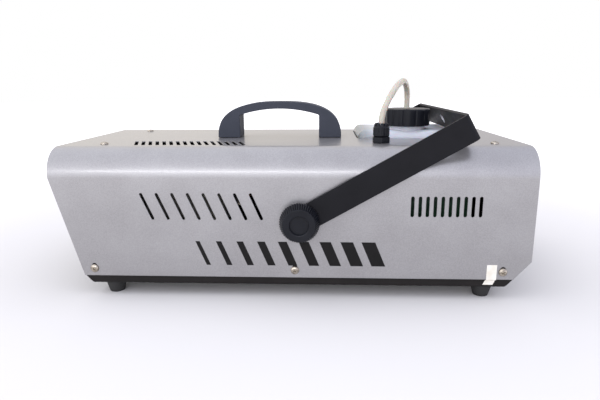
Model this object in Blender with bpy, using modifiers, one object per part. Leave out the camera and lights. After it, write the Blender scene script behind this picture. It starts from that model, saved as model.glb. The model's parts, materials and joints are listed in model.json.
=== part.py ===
"""Fog machine: a folded steel casing with a fluid tank, pump, heater and nozzle, a carrying
handle on top and a U-shaped hanging yoke that is clamped by two knurled knobs.

Frame: metres, +Z up, +X towards the rear (tank end), -X towards the nozzle, and the origin on
the floor under the middle of the casing. The yoke is modelled at its rest tilt.
"""

import bpy
import bmesh
from math import atan2, cos, pi, radians, sin
from mathutils import Matrix, Vector
from mathutils.geometry import interpolate_bezier

# ---------------------------------------------------------------- driving dimensions
CASE_LENGTH = 0.450
CASE_WIDTH = 0.222
CASE_TOP = 0.143
COVER_FOOT = 0.0206        # lower edge of the cover's sides
BEND_RADIUS = 0.027        # outside radius of the cover's two long bends
SHEET = 0.0012             # thickness of every folded sheet
FRONT_LEAN = 0.027         # how far the cover's front edge leans forward at the top
FRONT_BOW = 0.0050         # how far it stands ahead of a straight line at the foot of its bend
REAR_CHAMFER = (0.0155, 0.0175)
FRONT_RECESS = 0.022       # front panel behind the cover's front edge
REAR_RECESS = 0.012
TRAY_FLOOR = 0.0122        # underside of the base tray
TRAY_WALL_TOP = 0.036
TRAY_FRONT, TRAY_REAR = -0.1908, 0.203
GAP = 0.0003

FOOT_PLACES = [(x, y) for x in (-0.1734, 0.1849) for y in (-0.096, 0.096)]
SIDE_SCREW_X = (-0.1875, 0.006, 0.1995)
SIDE_SCREW_Z = 0.028
TOP_SCREW_X = (-0.184, 0.1957)
TOP_SCREW_Y = (-0.0715, 0.0640)
SCREW_HEAD_RADIUS, SCREW_HEAD_HEIGHT, SCREW_SHANK_RADIUS = 0.0040, 0.0022, 0.0017

PIVOT = Vector((0.011, 0.0, 0.0765))
YOKE_TILT = radians(29.6)
YOKE_REACH = 0.176         # pivot to the outside of the crossbar
YOKE_BAR = (0.024, 0.003)  # width and thickness of the flat bar
YOKE_HALF_SPAN = 0.1165    # middle of the casing to the outside of an arm
CLAMP_HOLE_RADIUS = 0.0052
KNOB_RADIUS, KNOB_FACE_RADIUS, KNOB_BACK, KNOB_FRONT = 0.0187, 0.0155, 0.1170, 0.1302

HANDLE_MIDDLE, HANDLE_HALF_LENGTH, HANDLE_HEIGHT, HANDLE_DEPTH = -0.0152, 0.0666, 0.0380, 0.030
HANDLE_SCREW_OFFSET = 0.0545

TANK_MIN = Vector((0.062, -0.031, 0.0140))
TANK_MAX = Vector((0.189, 0.081, 0.1390))
HUMP_MIN = Vector((0.0690, -0.0240, 0.100))
HUMP_MAX = Vector((0.1880, 0.0670, 0.1512))
TANK_WALL = 0.0025
NECK = Vector((0.1224, 0.0, 0.1665))
NECK_RADIUS, NECK_BORE = 0.0200, 0.0165
CAP_RADIUS, CAP_FOOT, CAP_TOP = 0.0252, 0.1552, 0.1730
TUBE_RADIUS = 0.0030
GLAND = Vector((0.0889, -0.0620, CASE_TOP))

HEATER_MIN = Vector((-0.178, -0.038, 0.046))
HEATER_MAX = Vector((-0.062, 0.038, 0.096))
NOZZLE_HEIGHT = 0.071
PUMP = Vector((0.025, 0.028, 0.045))
PANEL_X = CASE_LENGTH / 2 - REAR_RECESS
INLET = (-0.072, 0.062)
SWITCH = (-0.072, 0.100)
FUSE = (-0.044, 0.100)
REMOTE = (-0.042, 0.062)

TURNS = {
    "+X": (0, pi / 2, 0), "-X": (0, -pi / 2, 0),
    "+Y": (-pi / 2, 0, 0), "-Y": (pi / 2, 0, 0),
    "+Z": (0, 0, 0), "-Z": (pi, 0, 0),
}

# colour, roughness, metallic
FINISHES = {
    "silver_paint": ((0.45, 0.43, 0.44), 0.38, 0.75),
    "black_paint": ((0.020, 0.018, 0.018), 0.45, 0.0),
    "slate_plastic": ((0.047, 0.054, 0.072), 0.45, 0.0),
    "black_plastic": ((0.014, 0.015, 0.018), 0.42, 0.0),
    "black_rubber": ((0.018, 0.017, 0.016), 0.75, 0.0),
    "tank_plastic": ((0.62, 0.64, 0.70), 0.35, 0.0),
    "silicone": ((0.72, 0.69, 0.62), 0.30, 0.0),
    "nickel": ((0.62, 0.58, 0.54), 0.22, 1.0),
    "zinc": ((0.50, 0.50, 0.52), 0.40, 1.0),
    "cast_aluminium": ((0.55, 0.55, 0.56), 0.50, 1.0),
    "brass": ((0.62, 0.44, 0.16), 0.30, 1.0),
    "copper": ((0.72, 0.33, 0.20), 0.30, 1.0),
    "glass_wool": ((0.72, 0.68, 0.58), 0.95, 0.0),
    "circuit_board": ((0.02, 0.16, 0.06), 0.50, 0.0),
}


# ---------------------------------------------------------------- scene and helpers
def clear_scene():
    for obj in list(bpy.data.objects):
        bpy.data.objects.remove(obj, do_unlink=True)


def new_collection(name):
    collection = bpy.data.collections.new(name)
    bpy.context.scene.collection.children.link(collection)
    return collection


clear_scene()
PARTS = new_collection("fog_machine")
CUTTERS = new_collection("cutters")


def material(part, finish):
    """A material of the part's own, in one of the finishes."""
    colour, roughness, metallic = FINISHES[finish]
    made = bpy.data.materials.new(f"{part}_{finish}")
    made.use_nodes = True
    shader = made.node_tree.nodes["Principled BSDF"]
    shader.inputs["Base Color"].default_value = (*colour, 1.0)
    shader.inputs["Roughness"].default_value = roughness
    shader.inputs["Metallic"].default_value = metallic
    made.diffuse_color = (*colour, 1.0)
    return made


def add(name, data, finish=None, place=(0, 0, 0), turn="+Z"):
    """An object in the parts collection or, with no finish, a hidden cutter."""
    obj = bpy.data.objects.new(name, data)
    obj.location = place
    obj.rotation_euler = TURNS[turn] if isinstance(turn, str) else turn
    if finish is None:
        CUTTERS.objects.link(obj)
        obj.hide_render = True
        obj.display_type = "WIRE"
    else:
        PARTS.objects.link(obj)
        data.materials.append(material(name, finish))
    return obj


def round_shading(mesh, angle=35):
    mesh.shade_smooth()
    mesh.set_sharp_from_angle(angle=radians(angle))


def settled(obj):
    """The object as a plain mesh: its modifiers or its curve evaluated, and its seams welded."""
    bpy.context.view_layer.update()
    depsgraph = bpy.context.evaluated_depsgraph_get()
    mesh = bpy.data.meshes.new_from_object(obj.evaluated_get(depsgraph))
    shape = bmesh.new()
    shape.from_mesh(mesh)
    bmesh.ops.remove_doubles(shape, verts=shape.verts, dist=0.00001)
    shape.to_mesh(mesh)
    shape.free()
    round_shading(mesh)
    solid = bpy.data.objects.new("settled", mesh)
    solid.matrix_world = obj.matrix_world
    for collection in obj.users_collection:
        collection.objects.link(solid)
    solid.hide_render, solid.display_type = obj.hide_render, obj.display_type
    name = obj.name
    bpy.data.objects.remove(obj, do_unlink=True)
    solid.name = name
    return solid


def block(name, low, high, finish=None, bevel=0.0, segments=2):
    """A box between two corners, with rounded edges where a bevel is given."""
    low, high = Vector(low), Vector(high)
    shape = bmesh.new()
    bmesh.ops.create_cube(shape, size=1.0, matrix=Matrix.Diagonal((*(high - low), 1.0)))
    mesh = bpy.data.meshes.new(name)
    shape.to_mesh(mesh)
    shape.free()
    obj = add(name, mesh, finish, place=(low + high) / 2)
    if bevel:
        rounding = obj.modifiers.new("rounded_edges", "BEVEL")
        rounding.width, rounding.segments = bevel, segments
    return obj


def rod(name, radius, start, length, turn, finish=None, segments=20):
    """A plain cylinder that starts at a point and runs along its turned Z axis."""
    shape = bmesh.new()
    bmesh.ops.create_cone(
        shape, cap_ends=True, segments=segments, radius1=radius, radius2=radius, depth=length,
        matrix=Matrix.Translation((0, 0, length / 2)),
    )
    mesh = bpy.data.meshes.new(name)
    shape.to_mesh(mesh)
    shape.free()
    round_shading(mesh)
    return add(name, mesh, finish, place=start, turn=turn)


def turned(name, profile, finish, place, turn="+Z", segments=24, ring=False):
    """A turned piece. The profile is (radius, height) points, top to bottom down the outer side."""
    mesh = bpy.data.meshes.new(name)
    edges = [(i, i + 1) for i in range(len(profile) - 1)]
    if ring:
        edges.append((len(profile) - 1, 0))
    mesh.from_pydata([(radius, 0, height) for radius, height in profile], edges, [])
    obj = add(name, mesh, finish, place, turn)
    lathe = obj.modifiers.new("turned", "SCREW")
    lathe.steps = lathe.render_steps = segments
    lathe.use_merge_vertices, lathe.merge_threshold = True, 0.00001
    return settled(obj)


def outline_solid(name, outlines, thickness, finish=None, place=(0, 0, 0), turn="+Z"):
    """Flat outlines in local XY, thickened evenly about that plane."""
    curve = bpy.data.curves.new(name, "CURVE")
    curve.dimensions, curve.fill_mode = "2D", "BOTH"
    curve.extrude = thickness / 2
    for outline in outlines:
        spline = curve.splines.new("POLY")
        spline.points.add(len(outline) - 1)
        for point, (x, y) in zip(spline.points, outline):
            point.co = (x, y, 0, 1)
        spline.use_cyclic_u = True
    return settled(add(name, curve, finish, place, turn))


def arc(centre, radius, start, end, steps):
    """Points on an arc, with its angles in degrees."""
    angles = [radians(start + (end - start) * i / steps) for i in range(steps + 1)]
    return [(centre[0] + radius * cos(a), centre[1] + radius * sin(a)) for a in angles]


def stadium(start, end, width, steps=3):
    """The outline of a slot with round ends, between the centres of its ends."""
    heading = atan2(end[1] - start[1], end[0] - start[0]) * 180 / pi
    return (arc(end, width / 2, heading - 90, heading + 90, steps)
            + arc(start, width / 2, heading + 90, heading + 270, steps))


def folded_sheet(name, fold, far_end, finish, flip=False, thickness=SHEET):
    """A sheet folded along a line of points and swept straight to where far_end puts each point."""
    shape = bmesh.new()
    points = [shape.verts.new(point) for point in fold]
    edges = [shape.edges.new(pair) for pair in zip(points, points[1:])]
    swept = bmesh.ops.extrude_edge_only(shape, edges=edges)["geom"]
    for vert in (v for v in swept if isinstance(v, bmesh.types.BMVert)):
        vert.co = far_end(vert.co)
    bmesh.ops.recalc_face_normals(shape, faces=shape.faces)
    mesh = bpy.data.meshes.new(name)
    shape.to_mesh(mesh)
    shape.free()
    obj = add(name, mesh, finish)
    solidify = obj.modifiers.new("sheet", "SOLIDIFY")
    solidify.thickness, solidify.offset = thickness, 0.0
    solidify.use_even_offset, solidify.use_flip_normals = True, flip
    return settled(obj)


def boolean(obj, operation, others):
    for other in others:
        step = obj.modifiers.new(other.name, "BOOLEAN")
        step.operation, step.object, step.solver = operation, other, "EXACT"
    return obj


def cut(obj, *others):
    return boolean(obj, "DIFFERENCE", others)


def join(obj, *others):
    return boolean(obj, "UNION", others)


def smooth_route(points, spacing):
    """Evenly spread points on one smooth curve through the route's own points."""
    points = [Vector(p) for p in points]
    fine = []
    for i in range(len(points) - 1):
        a, b = points[i], points[i + 1]
        before = points[i - 1] if i else a - (b - a)
        after = points[i + 2] if i + 2 < len(points) else b + (b - a)
        fine += interpolate_bezier(a, a + (b - before) / 6, b - (after - a) / 6, b, 24)[:-1]
    fine.append(points[-1])
    lengths = [0.0]
    for a, b in zip(fine, fine[1:]):
        lengths.append(lengths[-1] + (b - a).length)
    count = max(2, round(lengths[-1] / spacing))
    spread, at = [], 0
    for step in range(count + 1):
        target = lengths[-1] * step / count
        while at < len(lengths) - 2 and lengths[at + 1] < target:
            at += 1
        part = (target - lengths[at]) / (lengths[at + 1] - lengths[at])
        spread.append(fine[at].lerp(fine[at + 1], min(1.0, part)))
    return spread


def tube(name, points, radius, finish, spacing):
    curve = bpy.data.curves.new(name, "CURVE")
    curve.dimensions = "3D"
    curve.bevel_depth, curve.bevel_resolution, curve.use_fill_caps = radius, 2, True
    route = smooth_route(points, spacing)
    spline = curve.splines.new("POLY")
    spline.points.add(len(route) - 1)
    for point, place in zip(spline.points, route):
        point.co = (*place, 1)
    return add(name, curve, finish)


def cover_front(z):
    """A straight line from the cover's front edge at its foot to the one at its top."""
    return -CASE_LENGTH / 2 + FRONT_LEAN * (CASE_TOP - z) / (CASE_TOP - COVER_FOOT)


def cover_edge(z):
    """The front edge with its bow, which is greatest where the side meets its bend."""
    crest = CASE_TOP - BEND_RADIUS
    share = (z - COVER_FOOT) / (crest - COVER_FOOT) if z < crest else (CASE_TOP - z) / BEND_RADIUS
    return cover_front(z) - FRONT_BOW * share


# ---------------------------------------------------------------- casing
def side_slots():
    """Eight slanted slots near the heater and ten upright ones near the electronics."""
    slanted = [stadium((x, 0.1008), (x + 0.0098, 0.0780), 0.0024)
               for x in (-0.1369 + 0.01464 * i for i in range(8))]
    upright = [stadium((x, 0.0982), (x, 0.0820), 0.0028)
               for x in (0.1138 + 0.00682 * i for i in range(10))]
    return outline_solid("side_slots", slanted + upright, CASE_WIDTH + 0.02, turn="-Y")


def top_slots():
    slots = [stadium((x, -0.0780), (x - 0.0080, -0.0500), 0.0024)
             for x in (-0.1500 + 0.00705 * i for i in range(16))]
    return outline_solid("top_slots", slots, 0.02, place=(0, 0, CASE_TOP))


def make_top_cover():
    side = CASE_WIDTH / 2 - SHEET / 2
    top = CASE_TOP - SHEET / 2
    bend = BEND_RADIUS - SHEET / 2
    chamfer_x, chamfer_z = REAR_CHAMFER
    half = [(-side, COVER_FOOT), (-side, COVER_FOOT + chamfer_z)]
    half += arc((-side + bend, top - bend), bend, 180, 90, 9)
    fold = half + [(-y, z) for y, z in reversed(half)]
    rear = CASE_LENGTH / 2

    def far_end(point):
        above = min(1.0, (point.z - COVER_FOOT) / chamfer_z)
        return (rear - chamfer_x * (1 - above), point.y, point.z)

    cover = folded_sheet("top_cover", [(cover_edge(z), y, z) for y, z in fold], far_end,
                         "silver_paint")
    holes = [
        rod("side_screw_holes", SCREW_SHANK_RADIUS + GAP, (x, -0.13, SIDE_SCREW_Z), 0.26, "+Y",
            segments=10) for x in SIDE_SCREW_X
    ] + [
        rod("top_screw_holes", SCREW_SHANK_RADIUS + GAP, (x, y, CASE_TOP - 0.006), 0.012, "+Z",
            segments=10) for x in TOP_SCREW_X for y in TOP_SCREW_Y
    ] + [
        rod("pivot_holes", 0.0046, (PIVOT.x, -0.13, PIVOT.z), 0.26, "+Y", segments=16),
        rod("gland_hole", 0.0063, (GLAND.x, GLAND.y, CASE_TOP - 0.006), 0.012, "+Z"),
        block("tank_opening", (HUMP_MIN.x - 0.0040, HUMP_MIN.y - 0.0010, CASE_TOP - 0.006),
              (HUMP_MAX.x + 0.0010, HUMP_MAX.y + 0.0010, CASE_TOP + 0.006)),
    ] + [
        rod("handle_screw_holes", 0.0024, (HANDLE_MIDDLE + side * HANDLE_SCREW_OFFSET, 0,
            CASE_TOP - 0.006), 0.012, "+Z", segments=10) for side in (-1, 1)
    ]
    return cut(cover, side_slots(), top_slots(), *holes)


def make_base_tray():
    side = CASE_WIDTH / 2 - SHEET - GAP - SHEET / 2
    floor = TRAY_FLOOR + SHEET / 2
    slant = 0.007
    half = [(-side, TRAY_WALL_TOP), (-side, COVER_FOOT), (-side, floor)]
    fold = half + [(-y, z) for y, z in reversed(half)]

    def inset(z):
        return slant * (1 - min(1.0, (z - floor) / (COVER_FOOT - floor)))

    tray = folded_sheet(
        "base_tray", [(TRAY_FRONT - slant + inset(z), y, z) for y, z in fold],
        lambda point: (TRAY_REAR + slant - inset(point.z), point.y, point.z), "black_paint")
    holes = [rod("tray_screw_holes", SCREW_SHANK_RADIUS + GAP, (x, -0.13, SIDE_SCREW_Z), 0.26,
                 "+Y", segments=10) for x in SIDE_SCREW_X]
    return cut(tray, *holes)


def panel_core():
    """The room inside the cover, which trims the end panels."""
    inner = CASE_WIDTH / 2 - 2 * SHEET - 3 * GAP
    top = CASE_TOP - SHEET - GAP
    radius = BEND_RADIUS - SHEET
    half = [(inner, 0.0)] + arc((inner - radius, top - radius), radius, 0, 90, 9)
    section = half + [(-y, z) for y, z in reversed(half)]
    return outline_solid("panel_core", [section], CASE_LENGTH, turn=(pi / 2, 0, pi / 2))


def make_end_panels(core):
    half = CASE_WIDTH / 2
    top = CASE_TOP - SHEET * 1.5 - GAP
    foot = TRAY_FLOOR + SHEET + GAP * 2
    front_flange, rear_flange = 0.0280, 0.0215
    chamfer_x, chamfer_z = REAR_CHAMFER
    bend = COVER_FOOT + chamfer_z
    front_top = cover_front(top) + FRONT_RECESS
    rear_foot = PANEL_X - (bend - foot) * chamfer_x / chamfer_z
    folds = {
        "front_panel": [(front_top + front_flange, top), (front_top, top),
                        (cover_front(foot) + FRONT_RECESS, foot)],
        "rear_panel": [(PANEL_X - rear_flange, top), (PANEL_X, top), (PANEL_X, bend),
                       (rear_foot, foot)],
    }
    panels = {}
    for name, fold in folds.items():
        sheet = folded_sheet(name, [(x, -half, z) for x, z in fold],
                             lambda point: (point.x, half, point.z), "black_paint")
        panels[name] = boolean(sheet, "INTERSECT", [core])
    for (name, x) in zip(("front_panel", "rear_panel"), TOP_SCREW_X):
        cut(panels[name], *[rod("flange_screw_holes", SCREW_SHANK_RADIUS + GAP,
                                (x, y, CASE_TOP - 0.006), 0.012, "+Z", segments=10)
                            for y in TOP_SCREW_Y])
    cut(panels["front_panel"], rod("nozzle_hole", 0.0105, (-0.21, 0, NOZZLE_HEIGHT), 0.04, "+X"))
    behind = PANEL_X - 0.01
    cut(panels["rear_panel"],
        block("inlet_cutout", (behind, INLET[0] - 0.0138, INLET[1] - 0.0103),
              (behind + 0.02, INLET[0] + 0.0138, INLET[1] + 0.0103)),
        block("switch_cutout", (behind, SWITCH[0] - 0.0068, SWITCH[1] - 0.0099),
              (behind + 0.02, SWITCH[0] + 0.0068, SWITCH[1] + 0.0099)),
        rod("fuse_cutout", 0.0063, (behind, *FUSE), 0.02, "+X"),
        rod("remote_cutout", 0.0085, (behind, *REMOTE), 0.02, "+X"))
    return panels


def make_feet():
    profile = [(0, 0.0119), (0.0095, 0.0119), (0.0095, 0.0095), (0.0078, 0.0008), (0.0070, 0.0),
               (0.0034, 0.0), (0.0034, 0.0035), (0, 0.0035)]
    for (x, y) in FOOT_PLACES:
        end = "front" if x < 0 else "rear"
        side = "near" if y < 0 else "far"
        turned(f"foot_{end}_{side}", profile, "black_rubber", (x, y, 0), segments=20)


def make_screw(name, place, turn, shank=0.008):
    """A pan-head screw whose head's underside is at the place, and which points the other way."""
    head, height, radius = SCREW_HEAD_RADIUS, SCREW_HEAD_HEIGHT, SCREW_SHANK_RADIUS
    profile = [(0, height), (head * 0.55, height), (head * 0.92, height * 0.55), (head, GAP),
               (radius, GAP), (radius, -shank), (0, -shank)]
    return turned(name, profile, "nickel", place, turn, segments=12)


def make_screws():
    for i, x in enumerate(SIDE_SCREW_X):
        end = ("front", "middle", "rear")[i]
        make_screw(f"side_screw_{end}_near", (x, -CASE_WIDTH / 2, SIDE_SCREW_Z), "-Y")
        make_screw(f"side_screw_{end}_far", (x, CASE_WIDTH / 2, SIDE_SCREW_Z), "+Y")
    for x, end in zip(TOP_SCREW_X, ("front", "rear")):
        for y, side in zip(TOP_SCREW_Y, ("near", "far")):
            make_screw(f"top_screw_{end}_{side}", (x, y, CASE_TOP), "+Z")


# ---------------------------------------------------------------- handle and yoke
def make_handle():
    """Full rounded legs and a thin, slightly arched grip."""
    fullness, steps = 2.6, 14
    outer = []
    for i in range(steps + 1):
        a = pi * i / steps
        x, z = cos(a), sin(a)
        reach = (abs(x) ** fullness + abs(z) ** fullness) ** (-1 / fullness)
        outer.append((HANDLE_HALF_LENGTH * x * reach, HANDLE_HEIGHT * z * reach))
    gap, spring, rise = 0.0427, 0.0240, 0.0066
    arch = [(gap * t, spring + rise * (1 - t * t)) for t in (-1, -0.66, -0.33, 0, 0.33, 0.66, 1)]
    outline = outer + [(-gap, 0.0)] + arch + [(gap, 0.0)]
    handle = outline_solid("carry_handle", [outline], HANDLE_DEPTH, "slate_plastic",
                           place=(HANDLE_MIDDLE, 0, CASE_TOP + GAP), turn="-Y")
    handle.rotation_euler = (pi / 2, 0, 0)
    rounding = handle.modifiers.new("rounded_edges", "BEVEL")
    rounding.width, rounding.segments, rounding.angle_limit = 0.0015, 1, radians(50)
    for side, end in ((-1, "front"), (1, "rear")):
        x = HANDLE_MIDDLE + side * HANDLE_SCREW_OFFSET
        cut(handle, rod("handle_bores", 0.0023, (x, 0, CASE_TOP - 0.002), 0.0165, "+Z",
                        segments=10))
        make_screw(f"handle_screw_{end}", (x, 0, CASE_TOP - SHEET), "-Z", shank=0.012)


def make_yoke():
    """A flat bar bent into a U, with a round end at each pivot and a clamp hole."""
    width, thick = YOKE_BAR
    outer, corner = YOKE_HALF_SPAN, 0.006
    end = -width / 2
    half_out = [(end, -outer)] + arc((YOKE_REACH - corner, -outer + corner), corner, -90, 0, 4)
    inner_corner = corner - thick
    half_in = ([(end, -outer + thick)]
               + arc((YOKE_REACH - corner, -outer + corner), inner_corner, -90, 0, 3))
    loop = (half_out + [(x, -y) for x, y in reversed(half_out)]
            + [(x, -y) for x, y in half_in] + half_in[::-1])
    yoke = outline_solid("yoke_bracket", [loop], width, "black_paint", place=PIVOT,
                         turn=(0, -YOKE_TILT, 0))
    bpy.context.view_layer.update()
    frame = yoke.matrix_world.copy()
    rounding = outline_solid(
        "yoke_end_shape",
        [arc((0, 0), width / 2, 90, 270, 8) + [(YOKE_REACH + 0.01, -width / 2),
                                               (YOKE_REACH + 0.01, width / 2)]], 0.26)
    rounding.matrix_world = frame @ Matrix.Rotation(pi / 2, 4, "X")
    pivot_bore = rod("yoke_pivot_bores", 0.0044, (0, 0, 0), 0.26, "-Y")
    pivot_bore.matrix_world = frame @ Matrix.Rotation(pi / 2, 4, "X") @ Matrix.Translation(
        (0, 0, -0.13))
    clamp = rod("yoke_clamp_hole", CLAMP_HOLE_RADIUS, (0, 0, 0), 0.02, "+X")
    clamp.matrix_world = frame @ Matrix.Translation((YOKE_REACH - 0.01, 0, 0)) @ Matrix.Rotation(
        pi / 2, 4, "Y")
    boolean(yoke, "INTERSECT", [rounding])
    return cut(yoke, pivot_bore, clamp)


def make_pivots():
    """On each side: a nut in the wall, a friction washer, a stud and a knob."""
    wall = CASE_WIDTH / 2
    for side, turn in (("near", "-Y"), ("far", "+Y")):
        axis = (PIVOT.x, 0, PIVOT.z)
        nut = [(0.0082, wall - SHEET - GAP), (0.0082, 0.0980), (0.0043, 0.0980),
               (0.0043, wall - SHEET - GAP)]
        turned(f"pivot_nut_{side}", nut, "zinc", axis, turn, 20, ring=True)
        washer = [(0.0150, YOKE_HALF_SPAN - YOKE_BAR[1] - GAP), (0.0150, wall + GAP),
                  (0.0044, wall + GAP), (0.0044, YOKE_HALF_SPAN - YOKE_BAR[1] - GAP)]
        turned(f"friction_washer_{side}", washer, "black_rubber", axis, turn, 24, ring=True)
        stud = [(0, 0.1230), (0.0040, 0.1230), (0.0040, 0.0950), (0, 0.0950)]
        turned(f"knob_stud_{side}", stud, "zinc", axis, turn, 16)
        r, face, back, front = KNOB_RADIUS, KNOB_FACE_RADIUS, KNOB_BACK, KNOB_FRONT
        knob = [(0, front - 0.0030), (0.0085, front - 0.0030), (0.0092, front - 0.0004),
                (face - 0.0012, front), (face, front - 0.0010), (r, back + 0.0030),
                (r, back + 0.0010), (r - 0.0010, back), (0.0043, back), (0.0043, 0.1235),
                (0, 0.1235)]
        turned(f"knob_{side}", knob, "black_plastic", axis, turn, 32)


# ---------------------------------------------------------------- fluid side
def make_tank():
    """A moulded tank: a box with a long hump that rises through the cover, and a neck."""
    wall = Vector((TANK_WALL,) * 3)
    tank = block("fluid_tank", TANK_MIN, TANK_MAX, "tank_plastic", bevel=0.006)
    hump = block("tank_hump", HUMP_MIN, HUMP_MAX, bevel=0.0075, segments=3)
    neck = rod("tank_neck", NECK_RADIUS, (NECK.x, NECK.y, HUMP_MAX.z - 0.008),
               NECK.z - HUMP_MAX.z + 0.008, "+Z", segments=28)
    join(tank, hump, neck)
    hollow = block("tank_hollow", TANK_MIN + wall, TANK_MAX - wall)
    hump_hollow = block("hump_hollow", HUMP_MIN + wall, HUMP_MAX - wall * 1.4)
    bore = rod("neck_bore", NECK_BORE, (NECK.x, NECK.y, HUMP_MAX.z - 0.02), 0.04, "+Z",
               segments=28)
    return cut(tank, hollow, hump_hollow, bore)


def make_cap():
    bore = TUBE_RADIUS + GAP
    liner_low = NECK.z + GAP
    liner_high = liner_low + 0.0018
    liner = [(0.0195, liner_high), (0.0195, liner_low), (bore, liner_low), (bore, liner_high)]
    turned("cap_liner", liner, "black_rubber", (NECK.x, NECK.y, 0), segments=28, ring=True)
    room = NECK_RADIUS + 0.0006
    cap = [(bore, CAP_TOP), (CAP_RADIUS - 0.0015, CAP_TOP), (CAP_RADIUS, CAP_TOP - 0.0015),
           (CAP_RADIUS, CAP_FOOT), (room, CAP_FOOT), (room, liner_high + GAP),
           (bore, liner_high + GAP)]
    turned("tank_cap", cap, "black_plastic", (NECK.x, NECK.y, 0), segments=36, ring=True)


def make_gland():
    """A cable gland that takes the tube through the cover."""
    bore = TUBE_RADIUS + GAP
    top = CASE_TOP
    hexagon = [(0.0092 * cos(radians(60 * i + 30)), 0.0092 * sin(radians(60 * i + 30)))
               for i in range(6)]
    collar = outline_solid("gland_body", [hexagon], 0.0055, "black_plastic",
                           place=(GLAND.x, GLAND.y, top + GAP + 0.00275))
    join(collar,
         rod("gland_thread", 0.0060, (GLAND.x, GLAND.y, top - 0.0120), 0.0150, "+Z"),
         rod("gland_spigot", 0.0052, (GLAND.x, GLAND.y, top + 0.0040), 0.0105, "+Z"))
    cut(collar, rod("gland_bore", bore, (GLAND.x, GLAND.y, top - 0.02), 0.05, "+Z", segments=12))
    low, high = 0.0061, 0.0192
    dome = [(bore, high), (0.0056, high), (0.0074, high - 0.0030), (0.0080, high - 0.0060),
            (0.0080, low), (0.0055, low), (0.0055, 0.0150), (bore, 0.0150)]
    turned("gland_dome_nut", dome, "black_plastic", GLAND, segments=20, ring=True)
    locknut = outline_solid("gland_locknut", [hexagon], 0.0050, "black_plastic",
                            place=(GLAND.x, GLAND.y, top - SHEET - GAP - 0.0025))
    cut(locknut, rod("locknut_bore", 0.0063, (GLAND.x, GLAND.y, top - 0.012), 0.012, "+Z"))


# From the tank's floor, up through the cap, over in a free arch, and down the gland to the pump.
SUCTION_ROUTE = [
    (0.1224, 0, 0.0345), (0.1224, 0, 0.080), (0.1224, 0, 0.130), (0.1224, 0, 0.165),
    (0.1224, 0, 0.1815), (0.1214, -0.0035, 0.1915), (0.1178, -0.0145, 0.1992),
    (0.1125, -0.0290, 0.2016), (0.1042, -0.0440, 0.1958), (0.0952, -0.0560, 0.1830),
    (0.0897, -0.0613, 0.1700), (0.0889, -0.0620, 0.1580), (0.0889, -0.0620, 0.1400),
    (0.0889, -0.0620, 0.1240), (0.0850, -0.0630, 0.1020), (0.0740, -0.0640, 0.0800),
    (0.0570, -0.0590, 0.0620), (0.0380, -0.0480, 0.0500), (0.0270, -0.0330, 0.0455),
    (0.0250, -0.0190, 0.0450),
]

# From the pump's outlet round to the heater's inlet.
PUMP_PIPE_ROUTE = [
    (0.025, 0.0708, 0.0450), (0.0245, 0.0800, 0.0455), (0.0170, 0.0895, 0.0475),
    (0.000, 0.0920, 0.0530), (-0.0180, 0.0830, 0.0610), (-0.0310, 0.0640, 0.0675),
    (-0.0380, 0.0440, 0.0702), (-0.0435, 0.0285, 0.0710), (-0.0520, 0.0205, 0.0710),
    (-0.0616, 0.0200, 0.0710),
]


def make_fluid_lines():
    tube("suction_tube", SUCTION_ROUTE, TUBE_RADIUS, "silicone", 0.0090)
    tube("pump_pipe", PUMP_PIPE_ROUTE, 0.0020, "copper", 0.0070)
    weight = [(0, 0.0340), (0.0040, 0.0340), (0.0060, 0.0310), (0.0060, 0.0185),
              (0.0050, 0.0172), (0, 0.0172)]
    turned("suction_filter", weight, "brass", (NECK.x, NECK.y, 0), segments=16)


def make_pump():
    """A solenoid pump: the coil's body, the plunger in its bore, and the strap that holds it."""
    low = Vector((PUMP.x - 0.018, 0.0050, PUMP.z - 0.018))
    high = Vector((PUMP.x + 0.018, 0.0500, PUMP.z + 0.018))
    body = block("pump_body", low, high, "black_plastic", bevel=0.003, segments=1)
    join(body,
         rod("pump_inlet", 0.0080, (PUMP.x, -0.0120, PUMP.z), 0.0200, "+Y", segments=16),
         rod("pump_inlet_port", 0.0040, (PUMP.x, -0.0186, PUMP.z), 0.0100, "+Y", segments=12),
         rod("pump_outlet", 0.0065, (PUMP.x, 0.0450, PUMP.z), 0.0254, "+Y", segments=16))
    cut(body,
        rod("pump_bore", 0.0052, (PUMP.x, -0.0050, PUMP.z), 0.0490, "+Y", segments=16),
        rod("pump_passage", 0.0016, (PUMP.x, -0.0300, PUMP.z), 0.1100, "+Y", segments=10))
    plunger = [(0, 0.0300), (0.0040, 0.0300), (0.0048, 0.0290), (0.0048, 0.0080), (0, 0.0080)]
    turned("pump_plunger", plunger, "zinc", (PUMP.x, 0, PUMP.z), "+Y", 16)
    floor = TRAY_FLOOR + SHEET + GAP + SHEET / 2
    ear_top = 0.060
    fold = [(0.0036, ear_top), (0.0036, floor), (0.0514, floor), (0.0514, ear_top)]
    strap = folded_sheet("pump_bracket", [(PUMP.x - 0.015, y, z) for y, z in fold],
                         lambda point: (PUMP.x + 0.015, point.y, point.z), "zinc")
    cut(strap,
        rod("strap_front_hole", 0.0084, (PUMP.x, -0.010, PUMP.z), 0.030, "+Y", segments=16),
        rod("strap_rear_hole", 0.0069, (PUMP.x, 0.040, PUMP.z), 0.030, "+Y", segments=16))


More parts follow.
